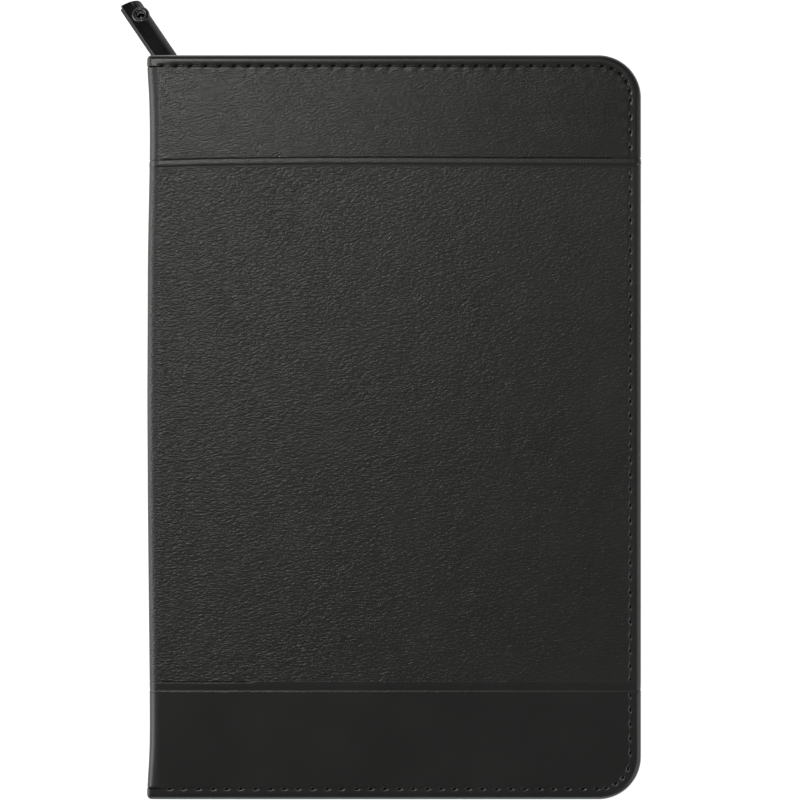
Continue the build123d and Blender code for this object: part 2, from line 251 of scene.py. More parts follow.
def add_outline(bm, points, z):
    """Closed line in plan at a height."""
    verts = [bm.verts.new((x, y, z)) for x, y in points]
    return [bm.edges.new(pair) for pair in zip(verts, verts[1:] + verts[:1])]


def face_outwards(bm):
    bmesh.ops.recalc_face_normals(bm, faces=bm.faces)
    return bm


def raise_faces(bm, height):
    """Grows flat faces into a plate."""
    grown = bmesh.ops.extrude_face_region(bm, geom=bm.faces[:])["geom"]
    raised = [part for part in grown if isinstance(part, bmesh.types.BMVert)]
    bmesh.ops.translate(bm, vec=(0, 0, height), verts=raised)
    return face_outwards(bm)


def face_towards(bm, probe, direction):
    """Turns a whole sheet so that its face nearest a point looks in a direction."""
    bm.normal_update()
    face_outwards(bm)
    bm.faces.ensure_lookup_table()
    nearest = min(bm.faces, key=lambda face: (face.calc_center_median() - Vector(probe)).length)
    if nearest.normal.dot(Vector(direction)) < 0:
        bmesh.ops.reverse_faces(bm, faces=bm.faces)
    return bm


# Lines round a cover

TOP_STEPS = 280
ARC_STEPS = 44
FORE_STEPS = 413
FOLD_STEPS = 40
FOLD_CORNER_STEPS = 8
LEAST_CORNER = 0.02


def round_path(centre, radius, start, end, steps):
    """Points on an arc, both ends included, with their normals."""
    path = []
    for step in range(steps + 1):
        angle = math.radians(start + (end - start) * step / steps)
        normal = (math.cos(angle), math.sin(angle))
        path.append(((centre[0] + radius * normal[0], centre[1] + radius * normal[1]), normal))
    return path


def spaced(first, last, steps):
    """Points from the first up to, but not including, the last."""
    return [first.lerp(last, step / steps) for step in range(steps)]


def turned(centre, radius, start, end, steps):
    """Points on an arc in plan, from one angle up to, but not including, the other."""
    return [Vector(point) for point, _ in round_path(centre, radius, start, end, steps)[:-1]]


def zipped_sides(inset, left, coarse=1):
    """Line drawn in from the three zipped sides, from its top left end round to its bottom left end."""
    arc_x = FORE - CORNER
    arc_y = TOP - CORNER
    radius = CORNER - inset
    x = FORE - inset
    y = TOP - inset
    line = spaced(Vector((left, y)), Vector((arc_x, y)), TOP_STEPS // coarse)
    line += turned((arc_x, arc_y), radius, 90, 0, ARC_STEPS // coarse)
    line += spaced(Vector((x, arc_y)), Vector((x, -arc_y)), FORE_STEPS // coarse)
    line += turned((arc_x, -arc_y), radius, 0, -90, ARC_STEPS // coarse)
    line += spaced(Vector((arc_x, -y)), Vector((left, -y)), TOP_STEPS // coarse)
    return line


def cover_ring(inset):
    """Closed line round a cover: its zipped sides, two small fold corners and the fold side."""
    fold_inset = min(inset, FOLD_EDGE - LEFT)
    radius = max(FOLD_CORNER - fold_inset, LEAST_CORNER)
    left = LEFT + fold_inset
    y = TOP - inset
    ring = zipped_sides(inset, left + radius)
    ring += turned((left + radius, radius - y), radius, -90, -180, FOLD_CORNER_STEPS)
    ring += spaced(Vector((left, radius - y)), Vector((left, y - radius)), FOLD_STEPS)
    ring += turned((left + radius, y - radius), radius, 180, 90, FOLD_CORNER_STEPS)
    return ring


# Stitch holes along the covers' edge


def lengths_along(line):
    total = 0.0
    lengths = [total]
    for first, second in zip(line, line[1:]):
        total += (second - first).length
        lengths.append(total)
    return lengths


STITCH_LEFT = LEFT + STITCH_INSET
STITCH_LINE = zipped_sides(STITCH_INSET, STITCH_LEFT)
STITCH_LENGTHS = lengths_along(STITCH_LINE)


def hole_places():
    """Distances of the needle holes along the stitch line, a little uneven and closer in the corners."""
    uneven = random.Random(11)
    top_end = STITCH_LENGTHS[TOP_STEPS]
    side_start = STITCH_LENGTHS[TOP_STEPS + ARC_STEPS]
    side_end = STITCH_LENGTHS[TOP_STEPS + ARC_STEPS + FORE_STEPS]
    bottom_start = STITCH_LENGTHS[TOP_STEPS + 2 * ARC_STEPS + FORE_STEPS]
    places = []
    along = FIRST_HOLE
    while along < STITCH_LENGTHS[-1] - LAST_HOLE:
        places.append(along)
        pitch = TOP_PITCH
        if top_end < along < bottom_start:
            pitch = FORE_PITCH if side_start < along < side_end else CORNER_PITCH
        along += pitch * uneven.uniform(*PITCH_SPREAD)
    return places


HOLES = hole_places()


def nearest_hole(along):
    spot = bisect.bisect(HOLES, along)
    beside = HOLES[max(spot - 1, 0):spot + 1]
    return min(abs(along - hole) for hole in beside)


def along_stitching(number, point):
    """Distance along the stitch line of one point of a ring round the cover."""
    last = len(STITCH_LENGTHS) - 1
    if number < TOP_STEPS:
        return point.x - STITCH_LEFT
    if number > last - TOP_STEPS:
        return STITCH_LENGTHS[last] + STITCH_LINE[last].x - point.x
    return STITCH_LENGTHS[number]


def seam_sink(number, point, inset):
    """How far the stitching draws the leather in, at one point of a ring round the cover."""
    if number >= len(STITCH_LENGTHS):
        return 0.0
    across = inset - STITCH_INSET
    apart = nearest_hole(along_stitching(number, point))
    on_top = clamped((point.y - TOP + CORNER) / (CORNER - STITCH_INSET))
    groove = SIDE_GROOVE + (TOP_GROOVE - SIDE_GROOVE) * on_top
    if across < 0:
        groove *= max(0.0, (inset - RIM_CROWN) / (STITCH_INSET - RIM_CROWN)) ** 1.5
    else:
        groove *= bell(across, GROOVE_HALF)
    groove *= eased(clamped((point.x - LEFT - NOSE_FLAT) / NOSE_BLEND))
    pit = PIT_DEPTH * bell(across, PIT_HALF) * bell(apart, PIT_ALONG)
    swell = PUCKER * bell(across - PUCKER_INSET, PUCKER_HALF)
    return groove + pit + swell * (2 * bell(apart, PUCKER_ALONG) - 1)


# Covers

HEM = [(10.5, 3.9), (10.5, 4.6), (10.3, 4.78), (9.9, COVER), (6.0, COVER), (3.2, COVER)]
RIM_STEPS = 6
CROWN_STEPS = 12
CUT_SLACK = 0.03
FACE_INSETS = (2.2, 2.5, 2.8, 3.05, 3.22, 3.36, 3.5, 3.64, 3.78, 3.95, 4.2, 4.6, 5.2, 6.0, 7.2, 9.5, 12.0)


def rim_crown(step, steps):
    """Shares of the way out to a rim's side and up to its face, at one step of its squarish turn."""
    angle = math.pi / 2 * step / steps
    return math.cos(angle) ** (2 / RIM_SQUARE), math.sin(angle) ** (2 / RIM_SQUARE)


def cover_profile():
    """Section of a cover's leather, as inset and depth below its face: hem, rolled rim, then the face."""
    profile = HEM + [point for point, _ in round_path((ROLL, ROLL), ROLL, 90, 180, RIM_STEPS)]
    for step in range(1, CROWN_STEPS + 1):
        out, up = rim_crown(step, CROWN_STEPS)
        profile.append((RIM_CROWN * (1 - out), ROLL * (1 - up)))
    return profile + [(inset, 0.0) for inset in FACE_INSETS]


def cover_row(inset, depth):
    row = []
    for number, point in enumerate(cover_ring(inset)):
        sink = seam_sink(number, point, inset) if depth == 0 else 0.0
        row.append(Vector((point.x, point.y, DEPTH - depth - sink)))
    return row


def cover_skin():
    """Leather of the whole front cover, before it is cut into its panels."""
    rows = [cover_row(*section) for section in cover_profile()]
    bm, edges = grow_rows(rows[0], rows[1:], closed=True)
    bmesh.ops.contextual_create(bm, geom=edges)
    for side in (-1, 1):
        folds = [face for face in bm.faces if face.calc_center_median().x < FOLD_EDGE]
        parts = {part for face in folds for part in (face, *face.edges, *face.verts)}
        cut(bm, (0, side * NOSE_Y, 0), (0, 1, 0), list(parts))
    over_fold = []
    for face in bm.faces:
        inside = [v.co.x < FOLD_EDGE + CUT_SLACK and abs(v.co.y) < NOSE_Y + CUT_SLACK for v in face.verts]
        if all(inside):
            over_fold.append(face)
    bmesh.ops.delete(bm, geom=over_fold, context="FACES")
    return face_towards(bm, (0, 0, DEPTH), (0, 0, 1))


# How far the top seam rises, along X
SEAM_RISE = [
    (-80.0, -0.1), (-73.0, 0.1), (-61.0, 0.45), (-44.0, 0.75),
    (-20.0, 0.92), (2.0, 0.92), (30.0, 0.8), (80.0, 0.65),
]
SEAM_REACH = 9.0
LONG_RUN = 20
LEVEL = 0.01
RUN_CUTS = 60


def blended(pairs, value):
    """Value between pairs of places and amounts, held beyond the first and last."""
    spot = min(max(bisect.bisect([place for place, _ in pairs], value), 1), len(pairs) - 1)
    (low, first), (high, second) = pairs[spot - 1], pairs[spot]
    return first + (second - first) * clamped((value - low) / (high - low))


def sew_askew(bm):
    """Moves leather near the top seam as that seam was sewn, rising from the spine."""
    for vert in bm.verts:
        near = math.exp(-(((vert.co.y - TOP_SEAM_LOW) / SEAM_REACH) ** 4))
        vert.co.y += near * blended(SEAM_RISE, vert.co.x)
    return bm


def ease_seams(bm):
    """Divides the long edges that run along the seams, so that they follow a seam sewn askew."""
    runs = []
    for edge in bm.edges:
        first, second = (vert.co for vert in edge.verts)
        if abs(first.x - second.x) > LONG_RUN and abs(first.y - second.y) < LEVEL:
            runs.append(edge)
    bmesh.ops.subdivide_edges(bm, edges=runs, cuts=RUN_CUTS)
    return bm


def dress_covers(leathers):
    skin = cover_skin()
    for name, (low, high) in PANELS.items():
        reach_low = low if low > -TOP else low - 1
        reach_high = high if high < TOP else high + 1
        front = sew_askew(ease_seams(keep_between(skin.copy(), reach_low, reach_high)))
        sides = {"front": front, "back": to_back(front.copy())}
        finish_pair(f"{name}_hide", sides, leathers[name], name, HIDE)
    skin.free()


FOAM_LOW = 22.85
FOAM_HIGH = 23.95
FOAM_FOLD = -74.6
FOAM_INSET = 1.5
FOAM_COARSE = 11


def dress_foam(foam):
    """Padding under the covers' leather, set back from the folds."""
    border = zipped_sides(FOAM_INSET, FOAM_FOLD, FOAM_COARSE) + [Vector((FOAM_FOLD, FOAM_INSET - TOP))]
    front = bmesh.new()
    bmesh.ops.contextual_create(front, geom=add_outline(front, border, FOAM_LOW))
    raise_faces(front, FOAM_HIGH - FOAM_LOW)
    sides = {"front": front, "back": to_back(front.copy())}
    finish_pair("foam_pad", sides, foam, "foam", smooth=False)


# Sheets that run across the case, along the fold and down the spine


def run_sheet(path, profile, wave=None):
    """Sheet that carries a profile, of places along Y and heights, along a path of points with normals."""
    rows = []
    for number, (point, normal) in enumerate(path):
        row = []
        for y, height in profile:
            extra = wave(number, y, height) if wave else 0.0
            row.append(Vector((point[0], y, point[1])) + Vector((normal[0], 0, normal[1])) * (height + extra))
        rows.append(row)
    bm, _ = grow_rows(rows[0], rows[1:])
    return bm


def straight(first, last, normal, steps):
    path = []
    for step in range(steps + 1):
        share = step / steps
        x = first[0] + (last[0] - first[0]) * share
        z = first[1] + (last[1] - first[1]) * share
        path.append(((x, z), normal))
    return path


FRONT_FOLD = (FOLD_X, DEPTH - ROLL)
SPINE_TOP = 21.2
SPINE_STEPS = 12
FOLD_TURN_STEPS = 16


def fold_path():
    """Front fold's section: off the cover's face, round the fold and on to the spine."""
    crown_x = LEFT + FOLD_REACH
    path = straight((FOLD_EDGE, DEPTH), (crown_x + 0.3, DEPTH), (0, 1), 2)
    for step in range(FOLD_TURN_STEPS + 1):
        angle = math.radians(90 + 90 * step / FOLD_TURN_STEPS)
        point = (crown_x + FOLD_REACH * math.cos(angle), FRONT_FOLD[1] + ROLL * math.sin(angle))
        normal = Vector((math.cos(angle) / FOLD_REACH, math.sin(angle) / ROLL)).normalized()
        path.append((point, normal))
    return path + straight((LEFT, FRONT_FOLD[1] - 0.4), (LEFT, SPINE_TOP), (-1, 0), 3)


# How far the leather of the spine is drawn in, along Y
SPINE_DRAW = [
    (-115.0, 0.0), (-111.7, 0.13), (-106.6, 0.55), (-101.6, 0.78), (-94.0, 0.85), (-76.0, 0.75),
    (-48.0, 0.45), (-23.0, 0.2), (8.0, 0.05), (27.0, 0.12), (52.0, 0.2), (65.0, 0.42), (78.0, 0.7),
    (90.0, 0.85), (96.0, 0.82), (105.0, 0.62), (110.0, 0.28), (113.9, -0.08), (115.0, 0.0),
]
DRAW_BLUR = (-4.0, -2.0, 0.0, 2.0, 4.0)


def draw_in(bm):
    """Draws the leather of a fold or the spine in, fully at the spine and not at all at the cover's face."""
    for vert in bm.verts:
        pull = sum(blended(SPINE_DRAW, vert.co.y + shift) for shift in DRAW_BLUR) / len(DRAW_BLUR)
        vert.co.x += pull * eased(clamped((FOLD_EDGE - vert.co.x) / (FOLD_EDGE - LEFT)))
    return bm


WELT_STEPS = 420
WELT_RIM_STEPS = 10


def welt_path():
    """Front welt's section: across the face, round the fore rim and in to the hem's edge."""
    path = straight((FOLD_EDGE, DEPTH), (FORE - RIM_CROWN, DEPTH), (0, 1), WELT_STEPS)
    for step in range(1, WELT_RIM_STEPS + 1):
        up, out = rim_crown(step, WELT_RIM_STEPS)
        point = (FORE - RIM_CROWN * (1 - out), DEPTH - ROLL * (1 - up))
        normal = Vector((out ** (RIM_SQUARE - 1) / RIM_CROWN, up ** (RIM_SQUARE - 1) / ROLL)).normalized()
        path.append((point, normal))
    path += round_path((FORE - ROLL, DEPTH - ROLL), ROLL, 0, -90, WELT_RIM_STEPS)[1:]
    return path + straight((FORE - ROLL - 0.5, DEPTH - COVER), (WINDOW_FORE + 0.2, DEPTH - COVER), (0, -1), 6)


def flat_profile(low, high, step=2.0):
    count = max(2, int((high - low) / step))
    return [(low + (high - low) * number / count, 0.0) for number in range(count + 1)]


# Ends of the strips: distance in from the end and height above the leather
FOLD_TUCK = [(0.8, 0.0), (0.6, 0.0), (0.3, -0.08), (0.12, -0.22), (0.0, -0.5)]
SPINE_TUCK = [(1.2, 0.0), (0.9, 0.0), (0.45, -0.08), (0.15, -0.3), (0.0, -0.7), (0.0, -2.6)]


def strip_profile(name, end, tuck):
    """Profile of a panel's strip over a fold or down the spine, tucked in where it ends."""
    low, high = PANELS[name]
    flat_end = end - tuck[0][0]
    if high == TOP:
        return flat_profile(low, flat_end) + [(end - inwards, height) for inwards, height in tuck[1:]]
    if low == -TOP:
        tucked = [(inwards - end, height) for inwards, height in reversed(tuck[1:])]
        return tucked + flat_profile(-flat_end, high)
    return flat_profile(low, high)


# Welts: distance below the upper edge and height above the leather

TOP_WELT = [
    (-0.3, -0.12), (-0.06, -0.12), (0.02, -0.6), (0.3, -0.6), (0.38, -0.03), (0.6, 0.0), (0.95, 0.025),
    (1.3, 0.055), (1.6, 0.075), (1.85, 0.08), (2.1, 0.065), (2.35, 0.03), (2.52, -0.02), (2.62, -0.05),
    (2.74, -0.01), (2.88, 0.03), (3.02, 0.065), (3.12, 0.06), (3.22, -0.02), (3.35, -0.12), (3.8, -0.12),
]
BOTTOM_WELT = [
    (-0.3, -0.02), (-0.04, -0.02), (0.02, -0.5), (0.2, -0.5), (0.26, 0.0), (0.7, 0.0), (1.1, -0.005),
    (1.5, -0.015), (1.9, -0.03), (2.3, -0.05), (2.6, -0.07), (2.8, -0.08), (2.92, -0.07), (3.1, -0.04),
    (3.3, -0.01), (3.5, 0.015), (3.62, 0.01), (3.75, -0.06), (3.9, -0.12), (4.15, -0.12),
]
CRACK = -0.3
CRACK_END = 400
BOTTOM_CRACK_END = 70
CRACK_CLOSES = 12
RIM_POINT = 412
RIM_RISE = 12
WELT_WALL = 0.5
BEAD_PLACE = 0.9
BEAD_HALF = 0.55
RIB_HEIGHT = 0.03
RIB_TURN = 2.15
RIB_DRAWS = 600


def welt_profile(upper, shape, lift, deepest=-1.0):
    return [(upper - below, max(height, deepest) + lift) for below, height in shape]


def over_rim(number):
    """Share of a welt's way from the flat face, where the back ones lie sunk, on to the fore rim."""
    return clamped((number - RIM_POINT) / RIM_RISE)


def welt_ribs(upper, lift, seed):
    """Fine cross ribs on the top welt's bead, a little uneven, and the end of the crack above it."""
    uneven = random.Random(seed)
    lean = [uneven.uniform(-1, 1) for _ in range(RIB_DRAWS)]

    def rib(number, y, height):
        rise = -lift * over_rim(number)
        if height - lift < CRACK:
            return rise if number < CRACK_END else rise + CRACK / 2 - height + lift
        bead = bell(upper - y - BEAD_PLACE, BEAD_HALF) * RIB_HEIGHT
        wobble = math.sin(number * RIB_TURN + lean[number // 7])
        return rise + bead * wobble * (0.7 + 0.3 * lean[number // 19])

    return rib


def closing_crack(lift):
    """Crack above the bottom welt, which closes on its way from the spine."""

    def close(number, _, height):
        rise = -lift * over_rim(number)
        if height - lift < CRACK:
            return rise + (lift - height) * clamped((number - BOTTOM_CRACK_END) / CRACK_CLOSES)
        return rise

    return close


WELTS = {"top_welt": (TOP_SEAM, TOP_WELT), "bottom_welt": (BOTTOM_SEAM_HIGH, BOTTOM_WELT)}
BACK_SINK = -0.3


def dress_welts(leather):
    for name, (upper, shape) in WELTS.items():
        sheets = []
        for lift in (0.0, BACK_SINK):
            wave = welt_ribs(upper, lift, 5) if name == "top_welt" else closing_crack(lift)
            sheet = sew_askew(run_sheet(welt_path(), welt_profile(upper, shape, lift), wave))
            sheets.append(face_towards(sheet, (0, upper - 1, DEPTH), (0, 0, 1)))
        sides = {"front": sheets[0], "back": to_back(sheets[1])}
        finish_pair(f"{name}_bead", sides, leather, name, WELT_WALL)


def bend_over_fold(piece):
    """Bakes a strip's placement into its mesh; the strip rides on no body."""
    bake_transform(piece)


def dress_folds(leathers):
    """Leather over both folds and down the spine, in the same strips as the covers."""
    strips = {}
    for name in PANELS:
        over_fold = strip_profile(name, NOSE_Y, FOLD_TUCK)
        strips[name] = (over_fold, strip_profile(name, SPINE_END, SPINE_TUCK), SLOTS[name])
    for name, (upper, shape) in WELTS.items():
        profile = welt_profile(upper, shape, 0.0, CRACK / 2)
        strips[name] = (profile, profile, "welt_leather")
    spine_path = straight((LEFT, SPINE_TOP), (LEFT, DEPTH - SPINE_TOP), (-1, 0), SPINE_STEPS)
    for name, (over_fold, down_spine, slot) in strips.items():
        middle = over_fold[len(over_fold) // 2][0]
        fold = sew_askew(draw_in(run_sheet(fold_path(), over_fold)))
        face_towards(fold, (LEFT, middle, DEPTH), (-1, 0, 1))
        for body, bm in (("front", fold), ("back", to_back(fold.copy()))):
            piece = finish_piece(f"{body}_fold_{name}", bm, leathers[name], None, (), HIDE)
            bend_over_fold(piece)
        spine = sew_askew(draw_in(run_sheet(spine_path, down_spine)))
        face_towards(spine, (LEFT, middle, DEPTH / 2), (-1, 0, 0))
        finish_piece(f"spine_{name}_hide", spine, leathers[name], "spine", [f"spine_{name}"], HIDE)


# Stitching


def axes_at(origin, along, across, up):
    return Matrix.Translation(origin) @ Matrix((along, across, up)).transposed().to_4x4()


def along_line(line, lengths, distance):
    """Point and direction on a line at a distance along it."""
    spot = min(max(bisect.bisect(lengths, distance), 1), len(line) - 1)
    span = lengths[spot] - lengths[spot - 1]
    share = (distance - lengths[spot - 1]) / span if span else 0.0
    return line[spot - 1].lerp(line[spot], share), (line[spot] - line[spot - 1]).normalized()


def round_shape():
    """Ball that stitches and the near-black needle-hole marks, which are painted shade, are stretched from.
    """
    bm = bmesh.new()
    bmesh.ops.create_uvsphere(bm, u_segments=8, v_segments=6, radius=1.0)
    return mesh_from(bm, "round_shape")


BALL = round_shape()


def add_copy(bm, mesh):
    """Adds a mesh, and gives the points that it brought."""
    before = len(bm.verts)
    bm.from_mesh(mesh)
    bm.verts.ensure_lookup_table()
    return bm.verts[before:]


def add_stitch(bm, first, last, up, radius, dip, flat=0.85):
    """One bowed stitch of thread between two holes."""
    along = last - first
    half = along.length / 2
    side = up.cross(along).normalized()
    place = axes_at((first + last) / 2, side, along.normalized(), up.normalized())
    for vert in add_copy(bm, BALL):
        x, y, z = vert.co.x, vert.co.z, vert.co.y
        vert.co = place @ Vector((x * radius, y * half, z * radius * flat - dip * y * y))


# Size, slant and sinking of the near-black marks in the needle holes: painted shade inside the holes.
HOLE_HALF = 0.74
HOLE_WIDTH = 0.34
HOLE_SLANT = 30
HOLE_FLAT = 0.6
HOLE_SINK = 0.26
WELT_HOLE_SINK = 0.1
STITCH_GAP = 0.3
STITCH_RADIUS = 0.2
STITCH_DIP = 0.4


def sew_covers(thread, hole):
    """Sunken thread round both covers, and slanted near-black marks sunk in the needle holes, which paint the
    shade inside them.
    """
    up = Vector((0, 0, 1))
    sewing = bmesh.new()
    hole_shade_marks = bmesh.new()
    for first, last in zip(HOLES, HOLES[1:]):
        ends = []
        for along in (first + STITCH_GAP, last - STITCH_GAP):
            point, _ = along_line(STITCH_LINE, STITCH_LENGTHS, along)
            ends.append(Vector((*point, DEPTH - HOLE_SINK)))
        add_stitch(sewing, *ends, up, STITCH_RADIUS, STITCH_DIP)
    for along in HOLES:
        point, heading = along_line(STITCH_LINE, STITCH_LENGTHS, along)
        on_welt = any(upper - shape[-1][0] < point.y < upper for upper, shape in WELTS.values())
        centre = Vector((*point, DEPTH - (WELT_HOLE_SINK if on_welt else HOLE_SINK)))
        slanted = Matrix.Rotation(math.radians(HOLE_SLANT), 3, "Z") @ Vector((*heading, 0)) * HOLE_HALF
        add_stitch(hole_shade_marks, centre - slanted, centre + slanted, up, HOLE_WIDTH, 0.0, HOLE_FLAT)
    for bm, name, material in ((sewing, "edge_stitching", thread), (hole_shade_marks, "needle_hole_shading", hole)):
        face_outwards(bm)
        finish_pair(name, {"front": bm, "back": to_back(bm.copy())}, material)


# Zip tapes and teeth

TAPE_SECTION = [
    (2.5, 5.3), (4.5, 5.4), (6.5, 5.42), (7.5, 5.45), (7.95, 5.6),
    (8.15, 6.0), (8.2, 6.8), (8.2, 7.7), (8.2, 8.8),
]
TAPE_COARSE = 4
TAPE_WAVE = 0.16
TAPE_BEND = 5.5
TAPE_WALL = 0.45


def tape_sheet():
    """Back tape: a flange on the hem that turns up to the teeth, with a slight wave in its free wall."""
    rows = []
    for inset, z in TAPE_SECTION:
        row = []
        for number, point in enumerate(zipped_sides(inset, TAPE_START, TAPE_COARSE)):
            wave = TAPE_WAVE * noise.noise(Vector((number * 0.11, z * 0.2, 3.0)))
            pull = wave if z > TAPE_BEND else 0.0
            row.append(Vector((point.x + pull, point.y + pull, z + wave * 0.4)))
        rows.append(row)
    bm, _ = grow_rows(rows[0], rows[1:])
    return face_towards(bm, (0, TOP - 5, 6), (0, 0, 1))


def dress_tapes(cloth):
    back = tape_sheet()
    front = to_back(back.copy())
    cut(front, (FRONT_TAPE_START, 0, 0), (1, 0, 0))
    parked = []
    for face in front.faces:
        middle = face.calc_center_median()
        if middle.y > 0 and middle.x < FRONT_TAPE_START:
            parked.append(face)
    bmesh.ops.delete(front, geom=parked, context="FACES")
    finish_pair("tape_cloth", {"back": back, "front": front}, cloth, "zip_tape", TAPE_WALL)


def ease_edges(bm, edges, width, segments):
    bmesh.ops.bevel(bm, geom=edges, offset=width, segments=segments, profile=0.5, affect="EDGES", material=-1)


def add_block(bm, size, place, ease=0.0):
    """Block whose edges may be eased."""
    made = bmesh.ops.create_cube(bm, size=1.0)["verts"]
    bmesh.ops.scale(bm, vec=size, verts=made)
    bmesh.ops.translate(bm, vec=place, verts=made)
    if ease:
        ease_edges(bm, list({edge for vert in made for edge in vert.link_edges}), ease, 1)


def one_tooth():
    """Moulded tooth: a waisted stem that grips the tape and a rounded head."""
    bm = bmesh.new()
    add_block(bm, HEAD_SIZE, (0, 0, TOOTH_HEIGHT - HEAD_SIZE[2] / 2), HEAD_EASE)
    add_block(bm, STEM_SIZE, (0, 0, STEM_MIDDLE))
    return mesh_from(bm, "tooth")


def teeth_row(first, left_end):
    line = list(reversed(zipped_sides(TAPE_INSET, TAPE_START)))
    lengths = lengths_along(line)
    last = lengths[-1] - (left_end - TAPE_START) - TOOTH_PITCH / 2
    tooth = one_tooth()
    bm = bmesh.new()
    along = first
    while along < last:
        point, heading = along_line(line, lengths, along)
        turn = Matrix.Rotation(math.atan2(heading.y, heading.x), 4, "Z")
        place = Matrix.Translation((point.x, point.y, TOOTH_BASE)) @ turn
        bmesh.ops.transform(bm, matrix=place, verts=add_copy(bm, tooth))
        along += TOOTH_PITCH
    bpy.data.meshes.remove(tooth)
    return bm


def dress_teeth(plastic):
    back = teeth_row(FIRST_TOOTH, BACK_ROW_START)
    front = to_back(teeth_row(FIRST_TOOTH + TOOTH_PITCH / 2, FRONT_ROW_START))
    for piece in finish_pair("teeth", {"back": back, "front": front}, plastic, "zip_teeth"):
        sharpen(piece, 50)


# Slider's bail, ring and pull tab

BAIL = Vector(joints["ring_flap"]["pos_m"]) / MM
EYE = Vector(joints["tab_swing"]["pos_m"]) / MM
PULL = (EYE - BAIL).normalized()
TAB_FACE = Vector(joints["tab_swing"]["axis"]).normalized()
TAB_SIDE = TAB_FACE.cross(PULL)
TAB_SEAT = axes_at(EYE, PULL, TAB_SIDE, TAB_FACE)
TAB_LENGTH = 26.0
TAB_HALF = 3.3
TAB_HALF_THICKNESS = 0.8
EYE_RADIUS = 1.8
EYELET_PLACE = 21.0
EYELET_SIDE = -0.75
RING_RADIUS = 2.1
RING_WIRE = 0.45
BAIL_WIRE = 0.55
BAIL_HALF = 2.2
BAIL_BEND = 0.9
BAIL_BEND_STEPS = 8
BAIL_SIDES = 12
PLATE_Y = 111.2
RING_PLAY = 0.35
SPIN_STEPS = 40


def spin_round(bm, outline):
    """Turns an outline full circle about Z."""
    bmesh.ops.spin(
        bm, geom=outline, cent=(0, 0, 0), axis=(0, 0, 1), angle=2 * math.pi, steps=SPIN_STEPS, use_merge=True
    )


def dress_ring(metal):
    bm = bmesh.new()
    wire = bmesh.ops.create_circle(bm, cap_ends=False, radius=RING_WIRE, segments=14)["verts"]
    bmesh.ops.rotate(bm, verts=wire, matrix=Matrix.Rotation(math.pi / 2, 3, "X"), cent=(0, 0, 0))
    bmesh.ops.translate(bm, verts=wire, vec=(RING_RADIUS, 0, 0))
    spin_round(bm, bm.verts[:] + bm.edges[:])
    face_outwards(bm)
    centre = BAIL + PULL * (RING_RADIUS - (BAIL_WIRE + RING_WIRE + RING_PLAY))
    bmesh.ops.transform(bm, matrix=axes_at(centre, PULL, TAB_FACE, -TAB_SIDE), verts=bm.verts)
    finish_piece("pull_ring_wire", bm, metal, "pull_ring", ["pull_ring"])


def dress_bail(metal):
    """Wire bail bent over the slider's plate."""
    line = []
    for side in (-1, 1):
        leg_x = BAIL.x + side * BAIL_HALF
        bend_x = BAIL.x + side * (BAIL_HALF - BAIL_BEND)
        bend_y = BAIL.y - BAIL_BEND
        half = [Vector((leg_x, PLATE_Y - 0.2, BAIL.z)), Vector((leg_x, bend_y, BAIL.z))]
        for step in range(1, BAIL_BEND_STEPS + 1):
            angle = math.radians(90 * step / BAIL_BEND_STEPS)
            x = bend_x + side * BAIL_BEND * math.cos(angle)
            half.append(Vector((x, bend_y + BAIL_BEND * math.sin(angle), BAIL.z)))
        line += half if side < 0 else list(reversed(half))
    rows = []
    for number, point in enumerate(line):
        before = line[max(number - 1, 0)]
        after = line[min(number + 1, len(line) - 1)]
        across = (after - before).normalized().cross(Vector((0, 0, 1)))
        row = []
        for step in range(BAIL_SIDES):
            angle = 2 * math.pi * step / BAIL_SIDES
            row.append(point + (across * math.cos(angle) + Vector((0, 0, math.sin(angle)))) * BAIL_WIRE)
        rows.append(row)
    bm, _ = grow_rows(rows[0], rows[1:], closed=True)
    bmesh.ops.holes_fill(bm, edges=bm.edges, sides=BAIL_SIDES)
    finish_piece("slider_bail_wire", face_outwards(bm), metal, "slider", ["slider_bail"])


TAB_SKEW = 0.22
TAB_TIP = TAB_LENGTH + 1.0
TIP_ROUND = 0.7
TIP_CROWN = 0.3
TIP_STEPS = 16
SHOULDER = 2.3


def tab_border():
    """Tab's outline in its own plane, from its eye over its shoulders to its slanted, crowned tip."""
    border = [point for point, _ in round_path((0, 0), EYE_RADIUS, 90, 270, 12)]
    border.append((SHOULDER, -TAB_HALF))
    for step in range(TIP_STEPS + 1):
        y = -TAB_HALF + 2 * TAB_HALF * step / TIP_STEPS
        edge = max(0.0, abs(y) - (TAB_HALF - TIP_ROUND)) / TIP_ROUND
        corner = TIP_ROUND * (1 - math.sqrt(max(0.0, 1 - edge * edge)))
        border.append((TAB_TIP + TAB_SKEW * y - corner - TIP_CROWN * (y / TAB_HALF) ** 2, y))
    return border + [(SHOULDER, TAB_HALF)]


def circle_points(x, y, radius, count):
    return [point for point, _ in round_path((x, y), radius, 0, 360, count)[:-1]]


CROWN_LINES = (-3.1, -2.8, -2.4, -2.0, -1.6, -1.2, -0.8, -0.4, 0.0, 3.0)
CROWN_START = -0.6
CROWN_DROP = 0.9
WALL_FOOT = 0.42
WALL_TOP = -0.7
# Width of the bevel along the splayed side's top edge, which carries a painted highlight.
LIP_GLINT_BEVEL = 0.4
EDGE_EASE = 0.13
EYE_BORE = 1.0
EYELET_BORE = 1.7


def crown_tab(bm):
    """Cuts the plate along its length, rounds one side of its face over and splays the other side's wall."""
    for line in CROWN_LINES:
        cut(bm, (0, line, 0), (0, 1, 0))
    for vert in bm.verts:
        out = max(0.0, CROWN_START - vert.co.y) / (CROWN_START + TAB_HALF)
        if vert.co.z > 0:
            vert.co.z -= CROWN_DROP * out * out
        if vert.co.y > TAB_HALF - 0.1:
            vert.co.y += WALL_TOP if vert.co.z > 0 else WALL_FOOT


def angled_edges(bm, degrees):
    """Edges whose two faces meet at more than an angle."""
    bm.normal_update()
    return [edge for edge in bm.edges if edge.calc_face_angle(0) > math.radians(degrees)]


